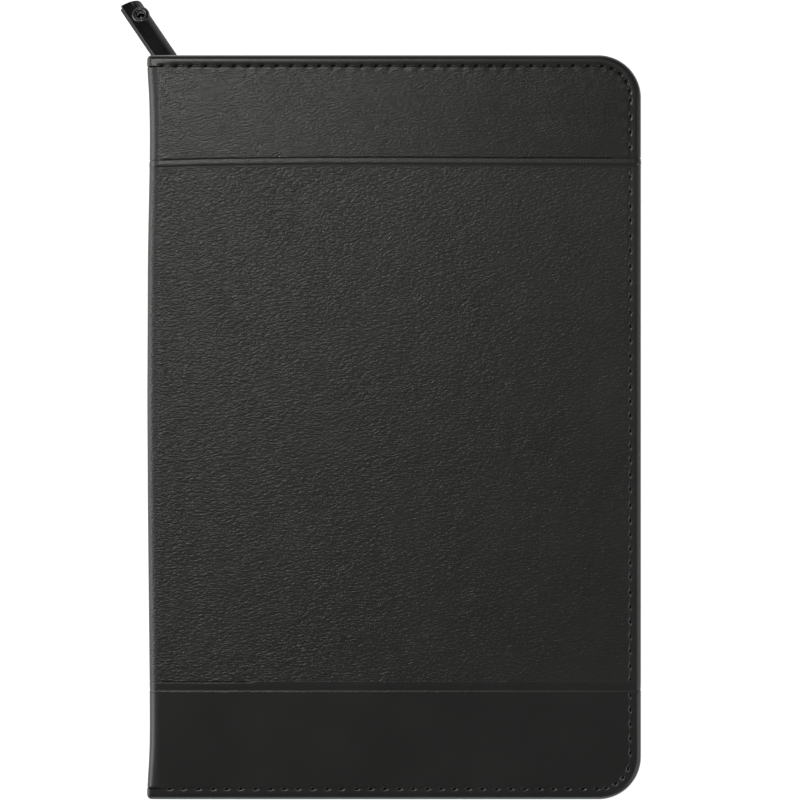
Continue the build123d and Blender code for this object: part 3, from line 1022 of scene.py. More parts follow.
def dress_tab(metal, wall, edge_glint):
    bm = bmesh.new()
    edges = []
    bore = circle_points(EYELET_PLACE, EYELET_SIDE, EYELET_BORE, 32)
    for border in (tab_border(), circle_points(0, 0, EYE_BORE, 24), bore):
        edges += add_outline(bm, border, -TAB_HALF_THICKNESS)
    bmesh.ops.triangle_fill(bm, edges=edges, use_beauty=True)
    raise_faces(bm, 2 * TAB_HALF_THICKNESS)
    crown_tab(bm)
    lip = [e for e in angled_edges(bm, 35) if all(v.co.y > 2.0 and v.co.z > 0 for v in e.verts)]
    ease_edges(bm, lip, LIP_GLINT_BEVEL, 2)
    crisp = [e for e in angled_edges(bm, 50) if abs(e.verts[0].co.z - e.verts[1].co.z) < 0.2]
    ease_edges(bm, crisp, EDGE_EASE, 2)
    bmesh.ops.transform(bm, matrix=TAB_SEAT, verts=bm.verts)
    piece = finish_piece("pull_tab_plate", bm, metal, "pull_tab", ["pull_tab"])
    sharpen(piece, 32)
    piece.modifiers.new("flat_face", "WEIGHTED_NORMAL").keep_sharp = True
    # The splayed side wall (wall) gets a near-black non-metal finish instead of the tab's metal: painted
    # shade.
    for part in (wall, edge_glint):
        piece.data.materials.append(part)
    # The narrow bevel along that wall's top edge gets a much lighter metal: a painted highlight.
    for polygon in piece.data.polygons:
        sideways = polygon.normal.dot(TAB_SIDE)
        if sideways > 0.74:
            polygon.material_index = 1
        elif sideways > 0.2 and polygon.normal.dot(TAB_FACE) > 0.3:
            polygon.material_index = 2


# Eyelet's section: distance from its middle and height
FLANGE = [
    (1.35, -0.5), (1.4, 0.7), (1.6, 0.98), (2.0, 1.1), (2.45, 1.06), (2.75, 0.86), (2.86, 0.5), (2.2, 0.3),
]
DIMPLE = [(0.0, -0.45), (0.5, -0.5), (0.8, -0.7), (1.1, -0.8), (1.4, -0.75)]


def dress_eyelet(metal):
    """Rolled eyelet, closed by a dimple."""
    section = FLANGE + [(radius, -z) for radius, z in reversed(FLANGE)]
    bm = bmesh.new()
    for points, closed in ((section, True), (DIMPLE, False)):
        verts = [bm.verts.new((radius, 0, z)) for radius, z in points]
        ends = verts[1:] + verts[:1] if closed else verts[1:]
        spin_round(bm, verts + [bm.edges.new(pair) for pair in zip(verts, ends)])
    bmesh.ops.remove_doubles(bm, verts=bm.verts, dist=0.001)
    face_outwards(bm)
    bmesh.ops.translate(bm, vec=(EYELET_PLACE, EYELET_SIDE, 0), verts=bm.verts)
    bmesh.ops.transform(bm, matrix=TAB_SEAT, verts=bm.verts)
    finish_piece("tab_eyelet_ring", bm, metal, "pull_tab", ["tab_eyelet"])


# Inside: lining, gutters, pad, pockets and pen loop


def grid_sheet(corners, columns, rows, height):
    """Sheet over four corners, from the lower left round, at a height given by its place on the sheet."""
    bm = bmesh.new()
    bmesh.ops.create_grid(bm, x_segments=columns, y_segments=rows, size=0.5)
    low_left, low_right, high_right, high_left = (Vector(corner) for corner in corners)
    for vert in bm.verts:
        u = vert.co.x + 0.5
        v = vert.co.y + 0.5
        low = low_left.lerp(low_right, u)
        high = high_left.lerp(high_right, u)
        point = low.lerp(high, v)
        vert.co = Vector((point.x, point.y, height(point, u, v)))
    return bm


def oblong(left, foot, right, head):
    """Four corners, from the lower left round."""
    return [(left, foot), (right, foot), (right, head), (left, head)]


LINING_FORE = 67.8
LINING_HEAD = 107.3
LINING_PUFF = 0.05
LINING_WALL = 0.4
SPINE_LINING_LOW = 5.2


def dress_linings(cloth):
    def puffed(point, u, v):
        return LINING_DEPTH + LINING_PUFF * noise.noise(Vector((point.x * 0.05, point.y * 0.05, 0)))

    corners = oblong(LINING_FOLD, -LINING_HEAD, LINING_FORE, LINING_HEAD)
    back = face_towards(grid_sheet(corners, 36, 54, puffed), (0, 0, LINING_DEPTH), (0, 0, 1))
    sides = {"back": back, "front": to_back(back.copy())}
    finish_pair("lining_cloth", sides, cloth, "lining", LINING_WALL)
    end = SPINE_END - 1.0
    down = straight((SPINE_IN, SPINE_LINING_LOW), (SPINE_IN, DEPTH - SPINE_LINING_LOW), (1, 0), 8)
    spine = run_sheet(down, flat_profile(-end, end, 3.0))
    face_towards(spine, (SPINE_IN, 0, DEPTH / 2), (1, 0, 0))
    finish_piece("spine_lining_cloth", spine, cloth, "spine", ["spine_lining"], LINING_WALL)


GUTTER_END = 112.2
GUTTER_RADIUS = 3.0
GUTTER_WALL = 0.3


def dress_gutters(cloth):
    """Lining that bridges both folds on the inside."""
    path = round_path(FRONT_FOLD, GUTTER_RADIUS, -76, -45, 12)
    front = run_sheet(path, flat_profile(-GUTTER_END, GUTTER_END, 4.0))
    face_towards(front, (FOLD_X + 2, 0, DEPTH - 6), (1, 0, -1))
    for body, bm in (("front", front), ("back", to_back(front.copy()))):
        piece = finish_piece(f"{body}_gutter_cloth", bm, cloth, None, (), GUTTER_WALL)
        bend_over_fold(piece)


def sew_line(bm, points, up, pitch, radius):
    """Row of stitches along a run of straight lines on a flat piece."""
    lengths = lengths_along(points)
    along = pitch * 0.3
    while along + pitch * 0.8 < lengths[-1]:
        first, _ = along_line(points, lengths, along)
        last, _ = along_line(points, lengths, along + pitch * 0.78)
        add_stitch(bm, first, last, up, radius, radius * 0.6)
        along += pitch


POCKET_LEFT = -72.1
POCKET_RIGHT = 66.0
POCKET_FOOT = -105.5
POCKET_FACE = 19.5
POCKET_HEAD = 36.5
POCKET_SLANT = 46.0
POCKETS = {"document_pocket": oblong(POCKET_LEFT, POCKET_FOOT, POCKET_RIGHT, POCKET_HEAD)}
POCKETS["document_pocket"][3] = (POCKET_LEFT, POCKET_HEAD - POCKET_SLANT)
CARD_LEFT = -53.05
CARD_FOOT = -99.5
CARD_RIGHT = CARD_LEFT + 100.0
for card, card_height in enumerate((72.0, 60.0, 48.0)):
    POCKETS[f"card_pocket_{card + 1}"] = oblong(CARD_LEFT, CARD_FOOT, CARD_RIGHT, CARD_FOOT + card_height)
POCKET_STEP = 0.8
POCKET_WALL = 0.5
POCKET_SEAM = 2.0
POCKET_PITCH = 3.4
POCKET_THREAD = 0.22
HEM_WIDTH = 6.0
HEM_FOLD = 0.25
HEM_SEAM = 5.0
MOUTH_SLACK = 0.18


def dress_pockets(hide, thread):
    sewing = bmesh.new()
    for number, (name, corners) in enumerate(POCKETS.items()):
        face_z = POCKET_FACE - POCKET_STEP * number
        mouth = max(corner[1] for corner in corners) - CARD_FOOT
        hem = 1 - HEM_WIDTH / mouth

        def pocket_face(point, u, v):
            turned_hem = -HEM_FOLD if hem < v < 0.995 else 0.0
            slack = -MOUTH_SLACK * math.sin(math.pi * u) * v * v
            return face_z + 0.3 + turned_hem + slack

        bm = grid_sheet(corners, 40, 64, pocket_face)
        face_towards(bm, (0, CARD_FOOT + 10, face_z), (0, 0, -1))
        finish_piece(f"{name}_hide", bm, hide, "front_cover", [name], POCKET_WALL)
        left = corners[0][0] + POCKET_SEAM
        right = corners[1][0] - POCKET_SEAM
        foot = corners[0][1] + POCKET_SEAM
        z = face_z + 0.2
        seam = [(left, corners[3][1] - 1), (left, foot), (right, foot), (right, corners[2][1] - 1)]
        hem_seam = [(x, y - HEM_SEAM) for x, y in (corners[3], corners[2])]
        for points, height in ((seam, z), (hem_seam, z - 0.28)):
            line = [Vector((*point, height)) for point in points]
            sew_line(sewing, line, Vector((0, 0, -1)), POCKET_PITCH, POCKET_THREAD)
    finish_piece("pocket_stitching", face_outwards(sewing), thread, "front_cover")


PAD_X = (-60.5, 66.5)
PAD_Y = (-101.5, 101.5)
SHEETS_LOW = 6.0
SHEETS_HIGH = 10.5
GUM_Y = 90.5
LAYERS = 15
LAYER_GAP = 0.02
LAYER_SHIFT = (-0.12, 0.05)
SHEET_EASE = 0.05
HEAD_LOW = 5.45
BINDING_LOW = 4.7
BINDING_WALL = 0.15
SLEEVE_PAST = 0.9
SLEEVE_FACE = 5.95
SLEEVE_DROP = 1.2
SLEEVE_EDGE = 0.45
SLEEVE_WALL = 0.4


def add_slab(bm, *bounds):
    """Layer of sheets between low and high bounds along X, Y and Z."""
    size = [high - low for low, high in bounds]
    middle = [(low + high) / 2 for low, high in bounds]
    add_block(bm, size, middle, SHEET_EASE)


def dress_pad(paper, binding, hide):
    """Stack of sheets, gummed at the top, in its sleeve."""
    uneven = random.Random(23)
    left, right = PAD_X
    foot, head = PAD_Y
    bm = bmesh.new()
    step = (SHEETS_HIGH - SHEETS_LOW) / LAYERS
    for layer in range(LAYERS):
        low = SHEETS_LOW + layer * step
        shift = [uneven.uniform(*LAYER_SHIFT) for _ in range(3)]
        x = (left - shift[0], right + shift[1])
        add_slab(bm, x, (foot - shift[2], head), (low + LAYER_GAP, low + step - LAYER_GAP))
    add_slab(bm, PAD_X, (GUM_Y + 0.1, head), (HEAD_LOW, SHEETS_LOW))
    sharpen(finish_piece("pad_sheet_stack", bm, paper, "back_cover", ["pad_sheets"]), 35)
    over_top = straight((GUM_Y, SHEETS_HIGH + 0.16), (head - 0.5, SHEETS_HIGH + 0.16), (0, 1), 6)
    over_top += round_path((head - 0.3, SHEETS_HIGH - 0.3), 0.5, 90, 0, 5)[1:]
    over_top += straight((head + 0.2, SHEETS_HIGH - 0.8), (head + 0.2, BINDING_LOW), (1, 0), 6)
    bm = run_sheet(over_top, flat_profile(-right, -left, 4.0))
    bmesh.ops.rotate(bm, verts=bm.verts, matrix=Matrix.Rotation(math.pi / 2, 3, "Z"), cent=(0, 0, 0))
    face_towards(bm, (0, GUM_Y + 4, SHEETS_HIGH), (0, 0, 1))
    finish_piece("pad_binding_tape", bm, binding, "back_cover", ["pad_binding"], BINDING_WALL)
    sleeve_foot = foot - SLEEVE_PAST
    corners = oblong(left - SLEEVE_PAST, sleeve_foot, right + SLEEVE_PAST, GUM_Y)

    def sleeve_face(point, u, v):
        edge = min(point.x - corners[0][0], corners[1][0] - point.x, point.y - sleeve_foot)
        return SLEEVE_FACE - SLEEVE_DROP * bell(edge, SLEEVE_EDGE)

    bm = face_towards(grid_sheet(corners, 140, 80, sleeve_face), (0, 0, 6), (0, 0, 1))
    finish_piece("pad_sleeve_hide", bm, hide, "back_cover", ["pad_sleeve"], SLEEVE_WALL)


LOOP_CENTRE = (-69.4, 12.5)
LOOP_Y = -30.0
LOOP_HALF = 12.0
LOOP_RADIUS = 5.55
LOOP_RIBS = 24
RIB_STEPS = LOOP_RIBS * 4
RIB_DEPTH = 0.05
ELASTIC_WALL = 0.7
BASE_X = SPINE_IN + 0.75
BASE_LOW = 5.8
BASE_SEAM = 6.8
BASE_SEAM_END = LOOP_HALF - 0.8


def dress_pen_loop(elastic, thread):
    """Ribbed elastic loop on a flat base sewn to the spine's lining."""
    profile = []
    for step in range(RIB_STEPS + 1):
        y = LOOP_Y - LOOP_HALF + 2 * LOOP_HALF * step / RIB_STEPS
        profile.append((y, RIB_DEPTH * math.cos(math.pi * step / 2) - RIB_DEPTH))
    band = run_sheet(round_path(LOOP_CENTRE, LOOP_RADIUS, 180, 540, 48), profile)
    bmesh.ops.remove_doubles(band, verts=band.verts, dist=0.001)
    face_towards(band, (LOOP_CENTRE[0] + LOOP_RADIUS, LOOP_Y, LOOP_CENTRE[1]), (1, 0, 0))
    finish_piece("pen_loop_band", band, elastic, "spine", ["pen_loop"], ELASTIC_WALL)
    base = run_sheet(straight((BASE_X, BASE_LOW), (BASE_X, DEPTH - BASE_LOW), (1, 0), 14), profile)
    face_towards(base, (BASE_X, LOOP_Y, DEPTH / 2), (1, 0, 0))
    finish_piece("pen_loop_base", base, elastic, "spine", (), ELASTIC_WALL)
    sewing = bmesh.new()
    for z in (BASE_SEAM, DEPTH - BASE_SEAM):
        line = [Vector((BASE_X + 0.02, LOOP_Y + end, z)) for end in (-BASE_SEAM_END, BASE_SEAM_END)]
        sew_line(sewing, line, Vector((1, 0, 0)), 2.8, 0.2)
    finish_piece("pen_loop_stitching", face_outwards(sewing), thread, "spine")


# Materials


def give(made, values):
    """Sets a shader node's own settings, or the values of its sockets."""
    for name, value in values.items():
        if hasattr(made, name):
            setattr(made, name, value)
        else:
            made.inputs[name.replace("_", " ")].default_value = value
    return made


def node(tree, kind, **values):
    return give(tree.nodes.new(kind), values)


def new_material(name, **values):
    """Material, its tree and its shader, with values given to the shader."""
    material = bpy.data.materials.new(name)
    material.use_nodes = True
    tree = material.node_tree
    return material, tree, give(tree.nodes["Principled BSDF"], values)


def new_group(name, inputs, outputs):
    """Shader node group with float sockets."""
    group = bpy.data.node_groups.new(name, "ShaderNodeTree")
    group.interface.new_socket("Vector", in_out="INPUT", socket_type="NodeSocketVector")
    for label, value in inputs.items():
        socket = group.interface.new_socket(label, in_out="INPUT", socket_type="NodeSocketFloat")
        socket.default_value = value
    for label in outputs:
        group.interface.new_socket(label, in_out="OUTPUT", socket_type="NodeSocketFloat")
    return group, node(group, "NodeGroupInput").outputs, node(group, "NodeGroupOutput").inputs


def places(tree):
    """Coordinates on the piece itself."""
    return node(tree, "ShaderNodeTexCoord").outputs["Object"]


def texture(tree, vector, kind, **values):
    """Outputs of a texture or another node that reads coordinates."""
    made = node(tree, kind, **values)
    tree.links.new(vector, made.inputs["Vector"])
    return made.outputs


def noisy(tree, vector, **values):
    return texture(tree, vector, "ShaderNodeTexNoise", **values)["Fac"]


def split_axes(tree, vector):
    return texture(tree, vector, "ShaderNodeSeparateXYZ")


def math_node(tree, operation, first, second=0.0):
    made = node(tree, "ShaderNodeMath", operation=operation)
    for socket, value in zip(made.inputs, (first, second)):
        if isinstance(value, (int, float)):
            socket.default_value = value
        else:
            tree.links.new(value, socket)
    return made.outputs[0]


def plus(tree, first, second):
    return math_node(tree, "ADD", first, second)


def minus(tree, first, second):
    return math_node(tree, "SUBTRACT", first, second)


def times(tree, first, second):
    return math_node(tree, "MULTIPLY", first, second)


def map_range(tree, value, low, high, to_low=0.0, to_high=1.0):
    made = node(tree, "ShaderNodeMapRange", From_Min=low, From_Max=high, To_Min=to_low, To_Max=to_high)
    tree.links.new(value, made.inputs["Value"])
    return made.outputs["Result"]


def stretched(tree, vector, degrees, along, across=1.0):
    """Coordinates that draw a pattern out along a direction."""
    turn = (0, 0, math.radians(degrees))
    return texture(tree, vector, "ShaderNodeMapping", Rotation=turn, Scale=(along, across, 1.0))["Vector"]


# Grain of the hide, with places in metres
GATHER_FROM = 0.096
GATHER_TO = 0.114
GATHER_LEAN = 0.14
TAUT_FROM = -60 * MM
TAUT_TO = 70 * MM
SLACK_RELIEF = 1.25
TAUT_RELIEF = 0.66
DRIFT = 1.5 * MM
CREASE_TURNS = (-12, -42, 76)
CREASE_STARTS = (0.42, 0.56)
CREASE_BLEND = 0.18
CREASE_STRETCH = 0.36
CELL_TURN = -13
CELL_STRETCH = 0.55
CELL_SCALE = 0.55
CELL_DEPTH = 0.35


def hide_grain_group():
    """Fine creases that run mostly one way, cells between them, and lines that fan down from the top seam."""
    inputs = {"Line Scale": 1300.0, "Cell Share": 0.4, "Gather": 0.0, "Turn": 0.0}
    group, given, result = new_group("HideGrain", inputs, ["Height", "Tone"])
    link = group.links.new
    drift = texture(group, given["Vector"], "ShaderNodeTexNoise", Scale=140.0, Detail=1.0)["Color"]
    centred = node(group, "ShaderNodeVectorMath", operation="SUBTRACT")
    link(drift, centred.inputs[0])
    centred.inputs[1].default_value = (0.5, 0.5, 0.5)
    gentle = node(group, "ShaderNodeVectorMath", operation="SCALE", Scale=DRIFT)
    link(centred.outputs["Vector"], gentle.inputs[0])
    shifted = node(group, "ShaderNodeVectorMath", operation="ADD")
    link(given["Vector"], shifted.inputs[0])
    link(gentle.outputs["Vector"], shifted.inputs[1])
    wavy = shifted.outputs["Vector"]
    layers = []
    for degrees in CREASE_TURNS:
        run = stretched(group, wavy, degrees, CREASE_STRETCH)
        crease = node(group, "ShaderNodeTexNoise", Detail=2.0, Roughness=0.6)
        link(run, crease.inputs["Vector"])
        link(given["Line Scale"], crease.inputs["Scale"])
        layers.append(crease.outputs["Fac"])
    patches = noisy(group, given["Vector"], Scale=52.0, Detail=2.0)
    axes = split_axes(group, given["Vector"])
    fanned = times(group, map_range(group, axes["Y"], GATHER_FROM, GATHER_TO), given["Gather"])
    lean = plus(group, plus(group, patches, given["Turn"]), times(group, fanned, GATHER_LEAN))
    lines = layers[0]
    for layer, start in zip(layers[1:], CREASE_STARTS):
        share = map_range(group, lean, start, start + CREASE_BLEND)
        lines = plus(group, lines, times(group, minus(group, layer, lines), share))
    cells = node(group, "ShaderNodeTexVoronoi", feature="DISTANCE_TO_EDGE")
    link(stretched(group, wavy, CELL_TURN, CELL_STRETCH), cells.inputs["Vector"])
    link(times(group, given["Line Scale"], CELL_SCALE), cells.inputs["Scale"])
    rise = math_node(group, "MINIMUM", times(group, cells.outputs["Distance"], 5.0), 1.0)
    relief = plus(group, lines, times(group, times(group, rise, given["Cell Share"]), CELL_DEPTH))
    taut = map_range(group, axes["X"], TAUT_FROM, TAUT_TO, SLACK_RELIEF, TAUT_RELIEF)
    from_fore = minus(group, FORE * MM, axes["X"])
    from_top = minus(group, TOP * MM, math_node(group, "ABSOLUTE", axes["Y"]))
    inset = math_node(group, "MINIMUM", from_fore, from_top)
    off_rim = map_range(group, inset, RIM_CROWN * MM, (STITCH_INSET + 1.0) * MM)
    link(times(group, relief, times(group, taut, off_rim)), result["Height"])
    link(patches, result["Tone"])
    return group


def weave_group():
    """Crossing threads: diagonal ridges broken by the weft."""
    group, given, result = new_group("ThreadWeave", {"Threads": 1800.0, "Slant": 1.0}, ["Height", "Fuzz"])
    axes = split_axes(group, given["Vector"])
    turn = times(group, given["Threads"], 2 * math.pi)
    warp = plus(group, plus(group, axes["X"], axes["Z"]), times(group, axes["Y"], given["Slant"]))
    ridge = math_node(group, "SINE", times(group, warp, turn))
    weft = math_node(group, "SINE", times(group, axes["Y"], turn))
    crossed = times(group, plus(group, weft, 1.6), plus(group, ridge, 1.0))
    group.links.new(times(group, crossed, 0.2), result["Height"])
    group.links.new(noisy(group, given["Vector"], Scale=700.0, Detail=3.0), result["Fuzz"])
    return group


def wear_group():
    """Fine scratches and smudges of handled metal."""
    group, given, result = new_group("HandledMetal", {"Scratch Scale": 900.0}, ["Smudge", "Scratch"])
    group.links.new(noisy(group, given["Vector"], Scale=160.0, Detail=3.0), result["Smudge"])
    scratch = node(group, "ShaderNodeTexNoise", Detail=2.0)
    group.links.new(stretched(group, given["Vector"], 34, 1.0, 0.08), scratch.inputs["Vector"])
    group.links.new(given["Scratch Scale"], scratch.inputs["Scale"])
    group.links.new(scratch.outputs["Fac"], result["Scratch"])
    return group


GRAIN = hide_grain_group()
WEAVE = weave_group()
WEAR = wear_group()


def from_group(tree, group, **values):
    return texture(tree, places(tree), "ShaderNodeGroup", node_tree=group, **values)


def toned(tree, shader, mask, colours, low=0.3, high=0.7):
    """Base colour between two tones by a mask."""
    tone = node(tree, "ShaderNodeValToRGB")
    for element, position, colour in zip(tone.color_ramp.elements, (low, high), colours):
        element.position = position
        element.color = (*colour, 1)
    tree.links.new(mask, tone.inputs["Fac"])
    tree.links.new(tone.outputs["Color"], shader.inputs["Base Color"])


def bumped(tree, shader, height, depth, strength=1.0):
    bump = node(tree, "ShaderNodeBump", Strength=strength, Distance=depth * MM)
    tree.links.new(height, bump.inputs["Height"])
    tree.links.new(bump.outputs["Normal"], shader.inputs["Normal"])


def roughened(tree, shader, mask, low, high):
    tree.links.new(map_range(tree, mask, 0.0, 1.0, low, high), shader.inputs["Roughness"])


def leather(name, tones, roughness, lines, cells, depth, gather=0.0, turn=0.0):
    """Dyed hide: grain in its bump, slow changes of tone and gloss."""
    material, tree, shader = new_material(name)
    hide = from_group(tree, GRAIN, Line_Scale=lines, Cell_Share=cells, Gather=gather, Turn=turn)
    toned(tree, shader, hide["Tone"], tones)
    roughened(tree, shader, hide["Tone"], roughness - 0.02, roughness + 0.02)
    bumped(tree, shader, hide["Height"], depth)
    return material


def cloth(name, colours, threads, slant, depth, sheen=0.0):
    material, tree, shader = new_material(name, Sheen_Weight=sheen, Sheen_Roughness=0.5)
    woven = from_group(tree, WEAVE, Threads=threads, Slant=slant)
    toned(tree, shader, woven["Height"], colours, 0.1, 0.9)
    bumped(tree, shader, woven["Height"], depth)
    roughened(tree, shader, woven["Fuzz"], 0.75, 0.95)
    return material


def metal(name, colours, roughness, scratch):
    material, tree, shader = new_material(name, Metallic=1.0)
    handled = from_group(tree, WEAR, Scratch_Scale=scratch)
    toned(tree, shader, handled["Smudge"], colours)
    roughened(tree, shader, handled["Smudge"], roughness - 0.06, roughness + 0.08)
    bumped(tree, shader, handled["Scratch"], 0.012)
    return material


def speckled(name, colours, depth, fibres, **values):
    """Tone and bump from the same fine noise."""
    material, tree, shader = new_material(name, **values)
    speckle = noisy(tree, places(tree), **fibres)
    toned(tree, shader, speckle, colours)
    bumped(tree, shader, speckle, depth)
    return material


def moulded(name, colours, roughness, specular=0.5):
    """Satin moulded plastic with a faint texture."""
    fibres = {"Scale": 1500.0, "Detail": 2.0}
    return speckled(name, colours, 0.02, fibres, Roughness=roughness, Specular_IOR_Level=specular)


def fibrous(name, colours, scale, depth):
    """Pressed board, card or foam with short fibres."""
    fibres = {"Scale": scale, "Detail": 4.0, "Distortion": 1.5}
    return speckled(name, colours, depth, fibres, Roughness=0.9)


RULE_PITCH = 7.1
RULE_WIDTH = 0.045
RULES_END = 80 * MM
SHEET_COLOUR = (0.8, 0.79, 0.75, 1)
RULE_COLOUR = (0.35, 0.45, 0.6, 1)


def ruled_paper():
    """White sheets with faint rules on their faces."""
    material, tree, shader = new_material("ruled_paper", Roughness=0.85)
    along = split_axes(tree, places(tree))["Y"]
    step = math_node(tree, "DIVIDE", along, RULE_PITCH * MM)
    phase = math_node(tree, "FRACT", plus(tree, step, 40.0))
    rule = math_node(tree, "LESS_THAN", phase, RULE_WIDTH)
    on_page = math_node(tree, "LESS_THAN", along, RULES_END)
    tint = node(tree, "ShaderNodeMix", data_type="RGBA")
    colours = [socket for socket in tint.inputs if socket.type == "RGBA"]
    for socket, colour in zip(colours, (SHEET_COLOUR, RULE_COLOUR)):
        socket.default_value = colour
    tree.links.new(times(tree, times(tree, rule, on_page), 0.6), tint.inputs["Factor"])
    mixed = [socket for socket in tint.outputs if socket.type == "RGBA"][0]
    tree.links.new(mixed, shader.inputs["Base Color"])
    bumped(tree, shader, noisy(tree, places(tree), Scale=1200.0, Detail=3.0), 0.02)
    return material


def greys(low, high):
    return (low, low, low), (high, high, high)


def thread_material():
    material, tree, shader = new_material("black_thread", Roughness=0.5)
    twist = node(tree, "ShaderNodeTexWave", bands_direction="DIAGONAL", Scale=900.0, Distortion=1.0)
    tree.links.new(places(tree), twist.inputs["Vector"])
    toned(tree, shader, twist.outputs["Fac"], greys(0.004, 0.01), 0.0, 1.0)
    bumped(tree, shader, twist.outputs["Fac"], 0.05, 0.6)
    return material


SMOOTH = ((0.0125, 0.0125, 0.0123), (0.015, 0.015, 0.0147))
GRAINED = ((0.0125, 0.0125, 0.0122), (0.016, 0.016, 0.0155))
TOP_HIDE = leather("top_band_hide", SMOOTH, 0.28, lines=2300.0, cells=0.15, depth=0.11, gather=1.0, turn=0.11)
CENTRE_HIDE = leather("centre_hide", GRAINED, 0.33, lines=1650.0, cells=0.6, depth=0.135)
BOTTOM_HIDE = leather("bottom_band_hide", SMOOTH, 0.31, lines=700.0, cells=0.1, depth=0.015)
WELT_HIDE = leather("welt_hide", SMOOTH, 0.32, lines=1700.0, cells=0.1, depth=0.06)
POCKET_HIDE = leather("pocket_hide", GRAINED, 0.4, lines=1400.0, cells=0.5, depth=0.1)
LEATHERS = {
    "top_panel": TOP_HIDE,
    "centre_panel": CENTRE_HIDE,
    "bottom_panel": BOTTOM_HIDE,
    "top_welt": WELT_HIDE,
    "bottom_welt": WELT_HIDE,
}
THREAD = thread_material()
# Near-black, rough, barely shiny marks: painted shade inside the needle holes.
HOLE_SHADE = moulded("painted_hole_shade", greys(0.0015, 0.003), 0.9, specular=0.1)
TWILL = ((0.012, 0.012, 0.013), (0.03, 0.03, 0.032))
LINING = cloth("lining_twill", TWILL, threads=1700.0, slant=1.0, depth=0.12, sheen=0.1)
TAPE = cloth("zip_tape_cloth", greys(0.006, 0.02), threads=1300.0, slant=0.6, depth=0.15, sheen=0.05)
ELASTIC = cloth("ribbed_elastic", greys(0.008, 0.022), threads=1600.0, slant=0.0, depth=0.15, sheen=0.1)
BOUND = ((0.01, 0.01, 0.011), (0.024, 0.024, 0.026))
BINDING = cloth("binding_cloth", BOUND, threads=2200.0, slant=0.0, depth=0.06)
TEETH = moulded("teeth_plastic", greys(0.008, 0.016), 0.38)
SLIDER = metal("slider_nickel", ((0.05, 0.05, 0.052), (0.09, 0.09, 0.092)), 0.3, scratch=700.0)
TAB = metal("tab_nickel", ((0.07, 0.07, 0.07), (0.11, 0.11, 0.108)), 0.14, scratch=900.0)
# Much lighter metal for the tab's edge bevel: a painted highlight.
TAB_EDGE_GLINT = metal("painted_tab_edge_glint", ((0.4, 0.4, 0.4), (0.6, 0.6, 0.59)), 0.25, scratch=900.0)
# Near-black non-metal for the metal tab's side wall: painted shade.
TAB_WALL_SHADE = moulded("painted_tab_wall_shade", greys(0.004, 0.008), 0.2, specular=0.3)
EYELET = metal("eyelet_nickel", greys(0.06, 0.1), 0.25, scratch=900.0)
PAPER = ruled_paper()
BOARD = fibrous("grey_board", ((0.34, 0.3, 0.25), (0.46, 0.41, 0.34)), 260.0, 0.05)
FOAM = fibrous("padding_foam", ((0.4, 0.4, 0.38), (0.55, 0.55, 0.52)), 900.0, 0.1)
CARD = fibrous("backing_card", ((0.3, 0.25, 0.19), (0.42, 0.36, 0.28)), 420.0, 0.04)

dress_covers(LEATHERS)
dress_welts(WELT_HIDE)
dress_folds(LEATHERS)
sew_covers(THREAD, HOLE_SHADE)
dress_foam(FOAM)
dress_tapes(TAPE)
dress_teeth(TEETH)
dress_ring(SLIDER)
dress_bail(SLIDER)
dress_tab(TAB, TAB_WALL_SHADE, TAB_EDGE_GLINT)
dress_eyelet(EYELET)
dress_linings(LINING)
dress_gutters(LINING)
dress_pockets(POCKET_HIDE, THREAD)
dress_pad(PAPER, BINDING, POCKET_HIDE)
dress_pen_loop(ELASTIC, THREAD)

KEPT_NODES = {
    "slider_body": SLIDER,
    "zip_end_stops": TEETH,
    "pad_backing": CARD,
    "front_board": BOARD,
    "back_board": BOARD,
    "spine_board": BOARD,
}
for kept_name, kept_material in KEPT_NODES.items():
    kept_slot = nodes[kept_name].material_slots[0]
    kept_slot.link = "OBJECT"
    kept_slot.material = kept_material


# Floor, light and camera

FLOOR_DROP = -0.0006
FLOOR_GLOW = 0.86


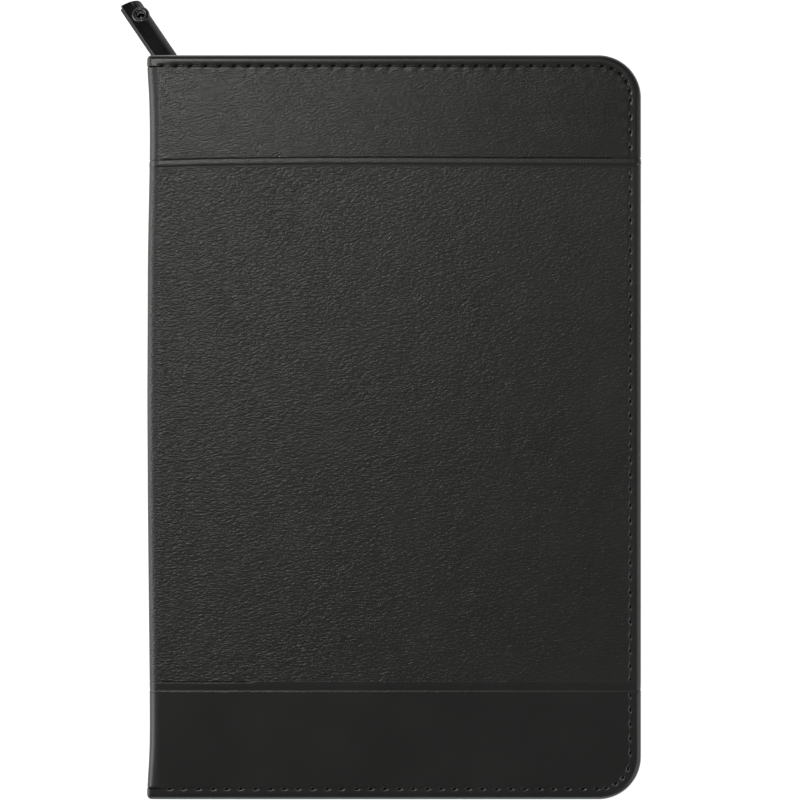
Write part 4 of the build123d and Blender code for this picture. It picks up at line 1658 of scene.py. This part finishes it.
def make_floor():
    bm = bmesh.new()
    bmesh.ops.create_grid(bm, x_segments=2, y_segments=2, size=6.0)
    bmesh.ops.translate(bm, vec=(0, 0, FLOOR_DROP), verts=bm.verts)
    mesh = mesh_from(bm, "floor")
    floor = add_object("floor", mesh)
    grey = (0.55, 0.55, 0.55, 1)
    white = (1, 1, 1, 1)
    material, tree, shader = new_material("pale_floor", Base_Color=grey, Roughness=0.9, Emission_Color=white)
    rays = node(tree, "ShaderNodeLightPath").outputs
    seen = math_node(tree, "MAXIMUM", rays["Is Camera Ray"], rays["Is Glossy Ray"])
    seen = math_node(tree, "MAXIMUM", seen, rays["Is Transmission Ray"])
    tree.links.new(times(tree, seen, FLOOR_GLOW), shader.inputs["Emission Strength"])
    mesh.materials.append(material)


COVERS = (0, 0, 0.02)
HORIZON = 0.9
ZENITH = 0.09


def make_world():
    world = bpy.data.worlds.new("studio")
    bpy.context.scene.world = world
    world.use_nodes = True
    tree = world.node_tree
    background = give(tree.nodes["Background"], {"Color": (1, 1, 1, 1)})
    rays = node(tree, "ShaderNodeLightPath").outputs
    up = split_axes(tree, node(tree, "ShaderNodeTexCoord").outputs["Generated"])["Z"]
    sky = map_range(tree, up, 0.0, 0.5, HORIZON, ZENITH)
    strength = math_node(tree, "MAXIMUM", sky, rays["Is Camera Ray"])
    tree.links.new(strength, background.inputs["Strength"])


def soft_light(name, place, aim, size, power, colour=(1, 1, 1)):
    """Soft box that looks at a point."""
    data = bpy.data.lights.new(name, "AREA")
    data.shape = "RECTANGLE"
    data.size, data.size_y = size
    data.energy = power
    data.color = colour
    light = add_object(name, data)
    light.location = place
    light.rotation_mode = "QUATERNION"
    light.rotation_quaternion = (Vector(aim) - Vector(place)).to_track_quat("-Z", "Y")


def make_camera():
    data = bpy.data.cameras.new("camera")
    data.lens = 200.0
    data.sensor_width = 36.0
    data.clip_start = 0.05
    data.clip_end = 30.0
    camera = add_object("camera", data)
    camera.location = (0.0019, 0.0086, 1.4264)
    bpy.context.scene.camera = camera


make_floor()
make_world()
soft_light("key", (-0.241, 0.364, 1.15), (-0.241, 0.0, 0.0), (0.32, 0.17), 2.5, (1.0, 1.0, 0.93))
soft_light("left panel", (-0.9, 0.12, 0.3), COVERS, (0.9, 0.5), 5.0)
soft_light("left veil", (-0.55, 0.3, 0.8), COVERS, (0.9, 0.45), 1.2)
soft_light("fill", (0.9, -0.3, 0.8), COVERS, (0.9, 0.9), 4.6)
soft_light("near panel", (0.0, -0.9, 0.25), COVERS, (0.9, 0.4), 1.8)
make_camera()

bpy.context.scene.view_settings.view_transform = "Standard"
bpy.context.view_layer.update()
